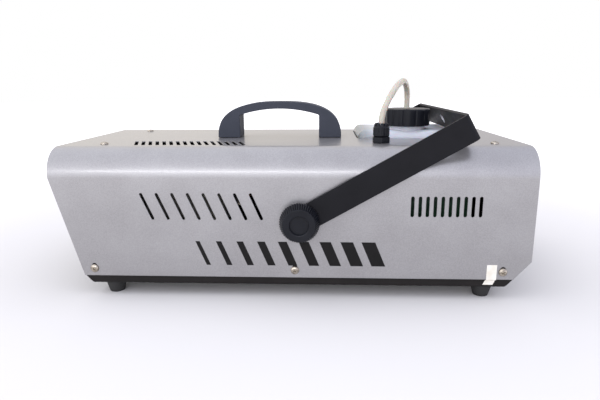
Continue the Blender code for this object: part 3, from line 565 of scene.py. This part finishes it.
def make_feet():
    """Four tapered feet, each with its screw."""
    profile = rounded([(0.0034, 0.0035), (0.0034, 0), (0.0070, 0), (0.0095, 0.0092),
                       (0.0095, 0.0119)], [0, 0.0005, 0.0009, 0.0012, 0], steps=4)
    for node in [n for n in NODES if n.startswith("foot_")]:
        spot = middle(node)
        foot = turned(f"{node}_rubber", profile, 48, matrix=Matrix.Translation((spot.x, spot.y, 0)))
        show(soften(foot, 0), "root", "black_rubber", node)
        washer = rounded([(0.0006, 0.0024), (0.0022, 0.0024), (0.0030, 0.0034)], 0.0003)
        rivet = turned(f"{node}_screw", washer, 24,
                       matrix=Matrix.Translation((spot.x, spot.y, 0)))
        show(soften(rivet, 0), "root", "nickel")


def screw_mesh():
    """A pan head with a cross recess, on a short shank, pointing down Z."""
    head, height = 0.0040, 0.0022
    profile = ([(head * cos(a) ** 0.9, GAP + (height - GAP) * sin(a))
                for a in (radians(88 - 88 * i / 8) for i in range(9))]
               + [(0.0017, GAP), (0.0017, -0.0080)])
    screw = turned("screw_mesh", profile, 40)
    arm, half = 0.0023, 0.00038
    for turn in (0, pi / 2):
        wedge = prism("recess", [[(-arm, height + 0.001), (-arm * 0.42, height - 0.0013),
                                  (arm * 0.42, height - 0.0013), (arm, height + 0.001)]],
                      -half, half, Matrix.Rotation(turn, 4, "Z") @ Matrix.Rotation(pi / 2, 4, "X"))
        combine(screw, "DIFFERENCE", wedge)
    soften(screw, 0, angle=40)
    return screw


def make_screws():
    """Every screw of the casing and the handle, each turned its own way about its axis."""
    pattern = screw_mesh()
    names = sorted(SIDE_SCREWS + TOP_SCREWS + [n for n in NODES if n.startswith("handle_screw")])
    for i, node in enumerate(names):
        spot = middle(node)
        if node.startswith("side"):
            away = -1 if node.endswith("near") else 1
            direction, place = (0, away, 0), (spot.x, away * CASE_SIDE, spot.z)
        elif node.startswith("top"):
            direction, place = (0, 0, 1), (spot.x, spot.y, CASE_TOP)
        else:
            direction, place = (0, 0, -1), (spot.x, spot.y, CASE_TOP - SHEET)
        screw = bpy.data.objects.new(f"{node}_cross", pattern.data)
        screw.modifiers.new("even_shading", "WEIGHTED_NORMAL").keep_sharp = True
        screw.matrix_world = facing(direction, place) @ Matrix.Rotation(0.7 * i + 0.3, 4, "Z")
        bpy.context.scene.collection.objects.link(screw)
        show(screw, "root", "nickel", node)
    bpy.data.objects.remove(pattern, do_unlink=True)


# ---------------------------------------------------------------- handle, yoke and knobs
def make_handle():
    """Full rounded legs and a thin, slightly arched grip."""
    low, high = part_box("carry_handle")
    half_length, height = (high.x - low.x) / 2, high.z - low.z
    fullness, steps = 2.6, 48
    outer = []
    for i in range(steps + 1):
        x, z = cos(pi * i / steps), sin(pi * i / steps)
        reach = (abs(x) ** fullness + abs(z) ** fullness) ** (-1 / fullness)
        outer.append((half_length * x * reach, height * z * reach))
    gap, spring, rise = 0.0427, 0.0240, 0.0066
    arch = [(gap * t, spring + rise * (1 - t * t)) for t in (-1 + i / 12 for i in range(25))]
    inner = rounded([(-gap, 0.0)] + arch + [(gap, 0.0)],
                    [0, 0.0018] + [0] * (len(arch) - 2) + [0.0018, 0], steps=4)
    centre = Vector(((low.x + high.x) / 2, 0, low.z))
    handle = prism("handle_grip", [outer + inner], low.y, high.y,
                   Matrix.Translation(centre) @ Matrix.Rotation(pi / 2, 4, "X"))
    bores = [disc("bore", 0.0023, CASE_TOP - 0.002, CASE_TOP + 0.0145,
                  Matrix.Translation((middle(n).x, 0, 0)), 24)
             for n in ("handle_screw_front", "handle_screw_rear")]
    combine(handle, "DIFFERENCE", *bores)
    show(soften(handle, 0.0013, 4, 40), "root", "slate_plastic", "carry_handle")


def make_yoke():
    """A flat bar bent into a U, with round ends, worked out flat and then tilted."""
    width, thick = YOKE_BAR
    outer = YOKE_HALF_SPAN - thick / 2
    tip = width / 2
    ends = [-tip * cos(radians(4 + 86 * i / 10)) for i in range(11)]
    line = [(u, -outer) for u in ends] + [(YOKE_REACH - thick / 2, -outer)]
    line += [(u, -v) for u, v in reversed(line)]
    bends = [0] * len(line)
    bends[len(ends)] = bends[len(ends) + 1] = 0.0045

    def edges(point, middle_point):
        half = tip if middle_point.x >= 0 else max(0.0008, sqrt(tip ** 2 - middle_point.x ** 2))
        return (point.x, point.y, -half), (point.x, point.y, half)

    yoke = bent_sheet("yoke_bar", rounded(line, bends, steps=8), edges, thick)
    clamp = disc("hole", 0.0052, YOKE_REACH - 0.01, YOKE_REACH + 0.01,
                 facing((1, 0, 0), (0, 0, 0)), 40)
    bore = disc("hole", 0.0044, -0.13, 0.13, Matrix.Rotation(pi / 2, 4, "X"), 32)
    combine(yoke, "DIFFERENCE", clamp, bore)
    tilt = Matrix.Translation(PIVOT) @ Matrix.Rotation(-YOKE_TILT, 4, "Y")
    yoke.data.transform(tilt)
    show(soften(yoke, 0.00035, 2), "yoke", "black_paint", "yoke_bracket")
    # bare metal in the clamp hole, whose paint is worn away
    rim = turned("clamp_hole_rim", rounded(
        [(0.0052, 0.00005), (0.0052, thick - 0.00005), (0.0048, thick), (0.0048, 0)],
        0.0001, closed=True), 40, ring=True,
        matrix=tilt @ facing((1, 0, 0), (YOKE_REACH - thick, 0, 0)))
    show(soften(rim, 0), "yoke", "black_paint", material=FINISHES["zinc"])


def make_knobs():
    """Two knobs, knurled on their cone, with a round recess in front."""
    radius, face, back, front = KNOB_RADIUS, KNOB_FACE_RADIUS, KNOB_BACK, KNOB_FRONT
    recess, bore, bore_end = 0.0032, 0.0043, 0.1235
    profile = rounded(
        [(0.0004, front - recess), (0.0084, front - recess), (0.0088, front - 0.0005),
         (0.0096, front - 0.0002), (face - 0.0010, front), (face, front - 0.0008),
         (radius, back + 0.0030), (radius, back + 0.0012), (radius - 0.0010, back),
         (bore, back), (bore, bore_end), (0.0004, bore_end)],
        [0, 0.0004, 0.0004, 0.0006, 0.0006, 0.0004, 0.0010, 0.0004, 0.0002, 0, 0, 0], steps=3)

    def knurl(r, h, angle):
        if r < face - 0.0006 or h < back + 0.0004:
            return r, h
        share = min(1.0, (r - face + 0.0006) / 0.0008)
        wave = abs(sin(KNOB_TEETH * angle / 2)) ** 0.6
        return r - KNURL_DEPTH * share * (1 - wave), h

    for side, away in (("near", -1), ("far", 1)):
        knob = turned(f"knob_{side}_knurled", profile, KNOB_TEETH * 6, ripple=knurl,
                      matrix=facing((0, away, 0), (PIVOT.x, 0, PIVOT.z)))
        show(soften(knob, 0, angle=50), f"{side}_knob", "black_plastic", f"knob_{side}")
        low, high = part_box(f"friction_washer_{side}")
        inner, outer = sorted((abs(low.y), abs(high.y)))
        washer = turned(f"washer_{side}", rounded(
            [(0.0150, inner), (0.0150, outer), (0.0044, outer), (0.0044, inner)], 0.0004,
            closed=True), 56, ring=True, matrix=facing((0, away, 0), (PIVOT.x, 0, PIVOT.z)))
        show(soften(washer, 0), "root", "black_rubber", f"friction_washer_{side}")


# ---------------------------------------------------------------- fluid side
def make_tank():
    """The moulded tank: its body, the long hump through the cover, and the threaded neck."""
    wall = 0.0025
    low, high = Vector((0.062, -0.031, 0.0140)), Vector((0.189, 0.081, 0.1390))
    hump_low, hump_high = Vector((0.0690, -0.0240, 0.100)), Vector((0.1880, 0.0670, 0.1512))
    tank = block("tank_moulding", low, high, 0.006, 4)
    hump = block("hump", hump_low, hump_high, 0.0078, 6)
    neck = turned("neck", rounded(
        [(0.0004, 0.1665), (0.0200, 0.1665), (0.0200, 0.1420), (0.0004, 0.1420)],
        [0, 0.0004, 0, 0]), 64, matrix=CAP_AXIS)
    combine(tank, "UNION", hump, neck)
    inside = Vector((wall,) * 3)
    hollow = block("hollow", low + inside, high - inside, 0.004, 3)
    hump_hollow = block("hollow", hump_low + inside, hump_high - inside * 1.4, 0.004, 3)
    bore = disc("bore", 0.0165, 0.130, 0.170, CAP_AXIS, 64)
    combine(tank, "DIFFERENCE", hollow, hump_hollow, bore)
    show(soften(tank, 0, angle=38), "root", "tank_plastic", "fluid_tank")
    thread = turned("tank_thread", [
        (0.0199 + (0.0005 if step % 4 in (1, 2) else 0), 0.1640 - step * 0.0006)
        for step in range(16)] + [(0.0190, 0.1550), (0.0190, 0.1640)], 64, ring=True,
        matrix=CAP_AXIS)
    show(soften(thread, 0), "root", "tank_plastic")


def make_cap():
    """The tank's cap, with shallow flutes down its side and a flat top."""
    bore, room = TUBE_RADIUS + GAP, 0.0206
    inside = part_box("cap_liner")[1].z + GAP
    top, foot = CAP_HIGH.z, CAP_LOW.z
    profile = rounded(
        [(bore, top), (CAP_RADIUS, top), (CAP_RADIUS, foot), (room, foot), (room, inside),
         (bore, inside)], [0.0004, 0.0016, 0.0006, 0.0004, 0, 0.0002], steps=6, closed=True)

    def flutes(r, h, angle):
        if r < CAP_RADIUS - 0.0019:
            return r, h
        part = (CAP_FLUTES * angle / (2 * pi)) % 1.0
        groove = max(0.0, 1 - abs(part - 0.5) / 0.10)
        scallop = 0.00035 * cos(2 * pi * part)
        return r - 0.0004 + scallop - 0.0008 * groove ** 0.6 * min(1.0, (top - h) / 0.002), h

    cap = turned("cap_fluted", profile, CAP_FLUTES * 20, ring=True, ripple=flutes,
                 matrix=CAP_AXIS)
    show(soften(cap, 0, angle=50), "cap", "black_plastic", "tank_cap")


def make_gland():
    """The gland's hexagon collar and the ribbed dome nut, whose claws close round the tube."""
    bore = TUBE_RADIUS + GAP
    at = Matrix.Translation((GLAND.x, GLAND.y, CASE_TOP))
    hexagon = [(0.0092 * cos(radians(60 * i + 30)), 0.0092 * sin(radians(60 * i + 30)))
               for i in range(6)]
    body = prism("gland_collar", [rounded(hexagon, 0.0012, steps=3, closed=True)], GAP, 0.0058)
    spigot = disc("spigot", 0.0052, 0.0040, 0.0145)
    shank = disc("shank", 0.0060, -0.0120, 0.0040)
    combine(body, "UNION", spigot, shank)
    combine(body, "DIFFERENCE", disc("bore", bore, -0.02, 0.03))
    body.data.transform(at)
    show(soften(body, 0.0003, 2), "root", "black_plastic", "gland_body")

    seal = 0.0046
    profile = rounded(
        [(seal, 0.0186), (seal, 0.0192), (0.0062, 0.0192), (0.0070, 0.0176), (0.0072, 0.0160),
         (0.0079, 0.0146), (0.0080, 0.0072), (0.0072, 0.0061), (0.0055, 0.0061),
         (0.0055, 0.0148), (seal, 0.0150)],
        [0, 0.0003, 0.0005, 0.0006, 0.0003, 0.0008, 0.0005, 0.0002, 0, 0, 0], steps=4,
        closed=True)

    def ribs(r, h, angle):
        if h > 0.0160 and r < 0.0072:
            gap = sin(5 * angle) ** 2 < 0.10
            return r, h - (0.0022 if gap else 0) * min(1.0, (h - 0.0160) / 0.0026)
        if r > 0.0074 and 0.0078 < h < 0.0146:
            return r - 0.00055 * (sin(8 * angle) ** 2 < 0.16), h
        return r, h

    nut = turned("gland_nut", profile, 160, ring=True, ripple=ribs, matrix=at)
    show(soften(nut, 0, angle=35), "root", "black_plastic", "gland_dome_nut")
    insert = turned("gland_seal", rounded(
        [(bore, 0.0184), (seal - 0.0001, 0.0184), (seal - 0.0001, 0.0152), (bore, 0.0152)],
        0.0003, closed=True), 64, ring=True, matrix=at)
    show(soften(insert, 0), "root", "black_plastic", material=SEAL)


# From the tank's floor, up through the cap, over in a free arch, and down the gland to the pump.
SUCTION_ROUTE = [
    (0.1224, 0, 0.0345), (0.1224, 0, 0.080), (0.1224, 0, 0.130), (0.1224, 0, 0.165),
    (0.1224, 0, 0.1815), (0.1214, -0.0035, 0.1915), (0.1178, -0.0145, 0.1992),
    (0.1125, -0.0290, 0.2016), (0.1042, -0.0440, 0.1958), (0.0952, -0.0560, 0.1830),
    (0.0897, -0.0613, 0.1700), (0.0889, -0.0620, 0.1580), (0.0889, -0.0620, 0.1400),
    (0.0889, -0.0620, 0.1240), (0.0850, -0.0630, 0.1020), (0.0740, -0.0640, 0.0800),
    (0.0570, -0.0590, 0.0620), (0.0380, -0.0480, 0.0500), (0.0270, -0.0330, 0.0455),
    (0.0250, -0.0190, 0.0450),
]


def smooth_route(points, steps):
    """Points on one smooth curve through the route's own points."""
    points = [Vector(p) for p in points]
    fine = []
    for i in range(len(points) - 1):
        a, b = points[i], points[i + 1]
        before = points[i - 1] if i else a - (b - a)
        after = points[i + 2] if i + 2 < len(points) else b + (b - a)
        fine += interpolate_bezier(a, a + (b - before) / 6, b - (after - a) / 6, b, steps)[:-1]
    return fine + [points[-1]]


def make_suction_tube():
    """The silicone tube along its whole route."""
    route = smooth_route(SUCTION_ROUTE, 8)
    tube = wire("feed_tube", route, TUBE_RADIUS, 6)
    show(tube, "root", "silicone", "suction_tube")


# ---------------------------------------------------------------- heater
def evenly(loop, count):
    """Points at equal steps along a closed line of 2D points, with the way out at each."""
    loop = [Vector(p) for p in loop]
    ends = loop[1:] + loop[:1]
    whole = sum((b - a).length for a, b in zip(loop, ends))
    made, side, passed = [], 0, 0.0
    for i in range(count):
        reach = whole * i / count
        while reach > passed + (ends[side] - loop[side]).length:
            passed += (ends[side] - loop[side]).length
            side += 1
        way = (ends[side] - loop[side]).normalized()
        made.append((loop[side] + way * (reach - passed), Vector((way.y, -way.x))))
    return made


def make_heater_wrap():
    """A quilted glass-cloth sleeve round the heater, tied with steel wires in its valleys."""
    low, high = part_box("heater_wrap")
    wall, stitch, valley, count, rows = 0.009, 0.0155, 0.0026, 144, 64
    section = rounded([(low.y, low.z), (high.y, low.z), (high.y, high.z), (low.y, high.z)],
                      0.0060, steps=6, closed=True)
    around = evenly(section, count)
    cells = round(2 * (high.y - low.y + high.z - low.z) / stitch)
    lengthwise = round((high.x - low.x) / stitch)

    def quilted(part, turn):
        puff = abs(sin(pi * lengthwise * part)) * abs(sin(pi * cells * turn))
        hem = min(1.0, min(part, 1 - part) * rows / 4)
        return valley * (1 - puff ** 0.45 * hem ** 0.5)

    shape = bmesh.new()
    rings = []
    for row in range(rows + 1):
        part = row / rows
        rings.append([shape.verts.new((low.x + (high.x - low.x) * part,
                                       *(p - out * quilted(part, i / count))))
                      for i, (p, out) in enumerate(around)])
    for x in (high.x, low.x):
        rings.append([shape.verts.new((x, *(p - out * (wall - 0.0004)))) for p, out in around])
    for here, there in zip(rings, rings[1:] + rings[:1]):
        for i in range(count):
            follows = (i + 1) % count
            shape.faces.new((here[i], here[follows], there[follows], there[i]))
    sleeve = add("heater_sleeve", shape)
    sleeve.data.shade_smooth()
    show(sleeve, "root", "glass_wool", "heater_wrap")
    for name, cell in (("front", 1), ("rear", lengthwise - 1)):
        x = low.x + (high.x - low.x) * cell / lengthwise
        loop = [(x, *(p - out * (valley - 0.0004))) for p, out in around]
        show(wire(f"wrap_tie_{name}", loop, 0.0005, 3, closed=True), "root", "zinc")


# ---------------------------------------------------------------- printed parts
def make_graphic():
    """A plain printed graphic on each side: a row of slanted bars that grow wider."""
    slant, thick = 0.42, 0.00006
    foot, top = 0.0325, 0.0560
    bars = []
    for i in range(9):
        left = -0.078 + 0.0195 * i
        width = 0.0040 + 0.0011 * i
        bars.append([(left, foot), (left + width, foot),
                     (left + width - slant * (top - foot), top), (left - slant * (top - foot), top)])
    for side, away in (("near", -1), ("far", 1)):
        surface = away * CASE_SIDE
        graphic = prism(f"side_print_{side}", bars, min(surface, surface + away * thick),
                        max(surface, surface + away * thick),
                        Matrix(((1, 0, 0, 0), (0, 0, 1, 0), (0, 1, 0, 0), (0, 0, 0, 1))))
        show(graphic, "root", "black_paint", material=PRINT)


def make_seal():
    """A blank paper seal that folds over the cover's lower edge onto the tray."""
    thick = 0.00012
    outside, tray = CASE_SIDE + thick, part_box("base_tray")[1].y + thick
    line = rounded([(-outside, 0.0350), (-outside, COVER_FOOT - 0.0002),
                    (-tray, COVER_FOOT - 0.0012), (-tray, 0.0150)], 0.0004, steps=3)

    def width(point, _):
        lean = max(0.0, COVER_FOOT - point.y) * 0.45
        return (0.1846 - lean, point.x, point.y), (0.1938 - lean, point.x, point.y)

    seal = bent_sheet("paper_seal", line, width, thick)
    show(soften(seal, 0), "root", "black_paint", material=PAPER)


# ---------------------------------------------------------------- front and rear
def make_nozzle():
    """The brass nozzle with its hexagon, and the trim ring round it."""
    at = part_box("nozzle")[1].x
    profile = rounded(
        [(0.0014, 0.0345), (0.0036, 0.0345), (0.0052, 0.0320), (0.0052, 0.0160),
         (0.0083, 0.0160), (0.0083, 0.0060), (0.0065, 0.0060), (0.0065, GAP), (0.0014, GAP)],
        [0.0003, 0.0004, 0.0006, 0, 0.0006, 0.0006, 0, 0, 0], steps=3, closed=True)

    def spanner(r, h, angle):
        if r < 0.0070:
            return r, h
        part = (angle + pi / 6) % (pi / 3) - pi / 6
        return min(r, 0.0074 / cos(part)), h

    nozzle = turned("nozzle_brass", profile, 96, ring=True, ripple=spanner,
                    matrix=facing((-1, 0, 0), (at, 0, NOZZLE.z)))
    show(soften(nozzle, 0, angle=40), "root", "brass", "nozzle")
    lean = atan2(FRONT_LEAN, CASE_TOP - COVER_FOOT)
    stand = SHEET / 2 + GAP
    face = cover_front(NOZZLE.z) + FRONT_RECESS
    ring = turned("nozzle_trim", rounded(
        [(0.0150, 0.0018), (0.0150, 0), (0.0108, 0), (0.0108, 0.0018)],
        [0.0012, 0, 0, 0.0005], closed=True), 72, ring=True,
        matrix=facing((-cos(lean), 0, -sin(lean)),
                      (face - stand * cos(lean), 0, NOZZLE.z - stand * sin(lean))))
    show(soften(ring, 0), "root", "nickel", "nozzle_ring")


def make_inlet():
    """A mains inlet: a flanged shell round a hollow with two cut corners, and three flat pins."""
    at = facing((1, 0, 0), (PANEL_FACE, INLET.y, INLET.z))
    flange = rounded([(-0.0155, -0.0118), (0.0155, -0.0118), (0.0155, 0.0118),
                      (-0.0155, 0.0118)], 0.0020, steps=5, closed=True)
    mouth = rounded([(-0.0120, -0.0085), (0.0120, -0.0085), (0.0120, 0.0040),
                     (0.0078, 0.0085), (-0.0078, 0.0085), (-0.0120, 0.0040)], 0.0008, steps=3,
                    closed=True)
    shell = prism("inlet_shell", [flange], 0, 0.0030)
    combine(shell, "UNION", block("body", (-0.0135, -0.0100, -0.0200), (0.0135, 0.0100, 0.0010)))
    combine(shell, "DIFFERENCE", prism("mouth", [mouth], -0.0150, 0.0100))
    shell.data.transform(at)
    show(soften(shell, 0.0004, 2), "root", "black_plastic", "power_inlet")
    for name, y, z in (("left", -0.0070, -0.0030), ("right", 0.0070, -0.0030),
                       ("earth", 0.0, 0.0040)):
        pin = block(f"inlet_pin_{name}", (y - 0.0010, z - 0.0020, -0.0155),
                    (y + 0.0010, z + 0.0020, -0.0020), 0.0004, 2)
        pin.data.transform(at)
        show(soften(pin, 0), "root", "brass")


def make_switch():
    """The rocker in its frame, with a bar and a ring as marks."""
    at = facing((1, 0, 0), (PANEL_FACE, SWITCH.y, SWITCH.z))
    rim = prism("switch_rim", [rounded(
        [(-0.0076, -0.0107), (0.0076, -0.0107), (0.0076, 0.0107), (-0.0076, 0.0107)], 0.0012,
        steps=4, closed=True)], 0, 0.0018)
    combine(rim, "UNION", block("body", (-0.0065, -0.0096, -0.0160), (0.0065, 0.0096, 0.0010)))
    combine(rim, "DIFFERENCE", block("pocket", (-0.0050, -0.0084, -0.0080),
                                     (0.0050, 0.0084, 0.0100)))
    rim.data.transform(at)
    show(soften(rim, 0.0004, 2), "root", "black_plastic", "switch_frame")

    half, thin, ridge = 0.0076, 0.0030, 0.0018
    face = [(thin + ridge * (1 - abs(t)) ** 1.5, half * t) for t in (1 - i / 8 for i in range(17))]
    outline = [(-0.0045, half * 0.55)] + face + [(-0.0045, -half * 0.55)]
    tilt = (Matrix.Translation((PANEL_FACE - 0.0008, SWITCH.y, SWITCH.z))
            @ Matrix.Rotation(radians(11), 4, "Y") @ Matrix.Rotation(pi / 2, 4, "X"))
    rocker = prism("rocker_key", [outline], -0.0046, 0.0046, tilt)
    show(soften(rocker, 0.0003, 2), "rocker", "black_plastic", "switch_rocker")
    lift = thin + 0.0006
    bar = prism("rocker_bar", [[(lift - 0.0014, 0.0028), (lift + 0.00015, 0.0028),
                                (lift - 0.0004, 0.0052), (lift - 0.0014, 0.0052)]],
                -0.0004, 0.0004, tilt)
    ring = turned("rocker_ring", [(0.0012, 0), (0.0012, 0.0010), (0.0017, 0.0010), (0.0017, 0)],
                  24, ring=True, matrix=tilt @ facing((1, 0.16, 0), (lift - 0.00085, -0.0041, 0)))
    for mark in (bar, ring):
        show(mark, "rocker", "black_plastic", material=MARK)


def make_fuse():
    """The fuse holder's collar, and its knurled cap with a slot."""
    at = facing((1, 0, 0), (PANEL_FACE, FUSE.y, FUSE.z))
    holder = turned("fuse_collar", rounded(
        [(0.0085, 0.0020), (0.0085, 0), (0.0060, 0), (0.0060, -0.0200), (0.0034, -0.0200),
         (0.0034, 0.0020)], [0.0006, 0, 0, 0.0004, 0, 0.0003], closed=True), 48, ring=True,
        matrix=at)
    show(soften(holder, 0), "root", "black_plastic", "fuse_holder")

    def knurl(r, h, angle):
        if r < 0.0066 or not 0.0028 < h < 0.0070:
            return r, h
        return r - 0.0003 * (sin(12 * angle) ** 2 < 0.3), h

    cap = turned("fuse_knob", rounded(
        [(0.0003, 0.0085), (0.0062, 0.0085), (0.0070, 0.0074), (0.0070, 0.0069),
         (0.0070, 0.0029), (0.0070, 0.0023), (0.0031, 0.0023), (0.0031, -0.0080),
         (0.0003, -0.0080)], [0, 0.0006, 0.0003, 0, 0, 0.0003, 0, 0.0004, 0]), 96, ripple=knurl)
    slot = block("slot", (-0.0050, -0.0006, 0.0070), (0.0050, 0.0006, 0.0120))
    slot.data.transform(Matrix.Rotation(pi / 2, 4, "Z"))
    combine(cap, "DIFFERENCE", slot)
    cap.data.transform(at)
    show(soften(cap, 0, angle=35), "fuse", "black_plastic", "fuse_cap")


def make_remote_socket():
    """A round socket with five holes, for a wired remote."""
    at = facing((1, 0, 0), (PANEL_FACE, REMOTE.y, REMOTE.z))
    socket = turned("remote_shell", rounded(
        [(0.0003, 0.0004), (0.0070, 0.0004), (0.0074, 0.0030), (0.0112, 0.0030), (0.0112, 0),
         (0.0082, 0), (0.0082, -0.0140), (0.0003, -0.0140)],
        [0, 0.0002, 0.0003, 0.0008, 0, 0, 0.0004, 0]), 64)
    holes = [disc("pin_hole", 0.0008, -0.0040, 0.0060, Matrix.Translation(
        (0.0046 * cos(radians(45 * i)), 0.0046 * sin(radians(45 * i)) - 0.001, 0)), 16)
        for i in range(5)]
    combine(socket, "DIFFERENCE", *holes)
    socket.data.transform(at)
    show(soften(socket, 0, angle=35), "root", "nickel", "remote_socket")


for make in (make_cover, make_tray, make_panels, make_feet, make_screws, make_handle, make_yoke,
             make_knobs, make_tank, make_cap, make_gland, make_suction_tube, make_heater_wrap,
             make_graphic, make_seal, make_nozzle, make_inlet, make_switch, make_fuse, make_remote_socket):
    make()


# ---------------------------------------------------------------- stage and light
def make_stage():
    """A pale floor with a painted glow: its emission rises away from the object and brightens it into
    white.
    """
    floor = disc("floor", 6.0, -0.02, 0.0)
    white = finish("floor_white", (0.70, 0.68, 0.66), (0.69, 0.67, 0.65), 0.9, blotch=2,
                   grain=40, depth=0.0, Specular_IOR_Level=0.0)
    nodes, links = white.node_tree.nodes, white.node_tree.links
    place, away = nodes.new("ShaderNodeTexCoord"), nodes.new("ShaderNodeVectorMath")
    away.operation = "LENGTH"
    links.new(place.outputs["Object"], away.inputs[0])
    # painted glow: emission strength that grows with distance from the object
    glow = nodes.new("ShaderNodeMapRange")
    glow.interpolation_type = "SMOOTHSTEP"
    for socket, value in (("From Min", 0.35), ("From Max", 1.3), ("To Min", 0.0), ("To Max", 0.6)):
        glow.inputs[socket].default_value = value
    links.new(away.outputs["Value"], glow.inputs["Value"])
    shader = nodes["Principled BSDF"]
    shader.inputs["Emission Color"].default_value = (1, 1, 1, 1)
    links.new(glow.outputs["Result"], shader.inputs["Emission Strength"])
    floor.data.materials.append(white)


def make_light(name, place, aim, size, power, colour):
    """A rectangular light at a place, turned to what it is aimed at."""
    light = bpy.data.lights.new(name, "AREA")
    light.shape, light.size, light.size_y = "RECTANGLE", size[0], size[1]
    light.energy, light.color = power, colour
    obj = bpy.data.objects.new(name, light)
    obj.matrix_world = facing(Vector(place) - Vector(aim), place)
    bpy.context.scene.collection.objects.link(obj)
    return obj


FRONT_SKY, BACK_SKY, ZENITH = (1.92, 1.95, 2.12), (1.02, 0.96, 0.88), (1.44, 1.48, 1.63)
RIGHT_SHADE = (0.68, 0.69, 0.75)


def make_world():
    """A soft studio all round, brighter in front and dimmer to the right. The camera sees white."""
    world = bpy.data.worlds.new("studio")
    bpy.context.scene.world = world
    world.use_nodes = True
    nodes, links = world.node_tree.nodes, world.node_tree.links
    sky = nodes["Background"]
    place = nodes.new("ShaderNodeTexCoord")
    parts = nodes.new("ShaderNodeSeparateXYZ")
    links.new(place.outputs["Generated"], parts.inputs["Vector"])

    def ramp(value, low, high, first, second, blend="MIX"):
        spread = nodes.new("ShaderNodeMapRange")
        spread.interpolation_type = "SMOOTHSTEP"
        spread.inputs["From Min"].default_value = low
        spread.inputs["From Max"].default_value = high
        links.new(value, spread.inputs["Value"])
        mix = nodes.new("ShaderNodeMix")
        mix.data_type, mix.blend_type = "RGBA", blend
        links.new(spread.outputs["Result"], mix.inputs["Factor"])
        for socket, colour in (("A", first), ("B", second)):
            if isinstance(colour, tuple):
                mix.inputs[socket].default_value = (*colour, 1)
            else:
                links.new(colour, mix.inputs[socket])
        return mix.outputs["Result"]

    horizon = ramp(parts.outputs["Y"], -0.5, 0.9, FRONT_SKY, BACK_SKY)
    colour = ramp(parts.outputs["Z"], 0.25, 0.95, horizon, ZENITH)
    colour = ramp(parts.outputs["X"], -0.3, 0.5, colour, RIGHT_SHADE, "MULTIPLY")
    links.new(colour, sky.inputs["Color"])
    sky.inputs["Strength"].default_value = 1.0
    seen = nodes.new("ShaderNodeBackground")
    seen.inputs["Color"].default_value = (1, 1, 1, 1)
    path = nodes.new("ShaderNodeLightPath")
    choice = nodes.new("ShaderNodeMixShader")
    links.new(path.outputs["Is Camera Ray"], choice.inputs["Fac"])
    links.new(sky.outputs["Background"], choice.inputs[1])
    links.new(seen.outputs["Background"], choice.inputs[2])
    links.new(choice.outputs["Shader"], nodes["World Output"].inputs["Surface"])


make_stage()
make_world()
make_light("strip", (-0.30, -1.6, 0.58), (0, 0, 0.12), (1.3, 0.10), 4.5, (0.95, 0.97, 1.0))
overhead = make_light("overhead", (0.0, -0.1, 1.8), (0, 0, 0), (2.4, 1.6), 6, (0.98, 0.98, 1.0))
overhead.visible_glossy = False
bpy.context.scene.view_settings.view_transform = "Standard"
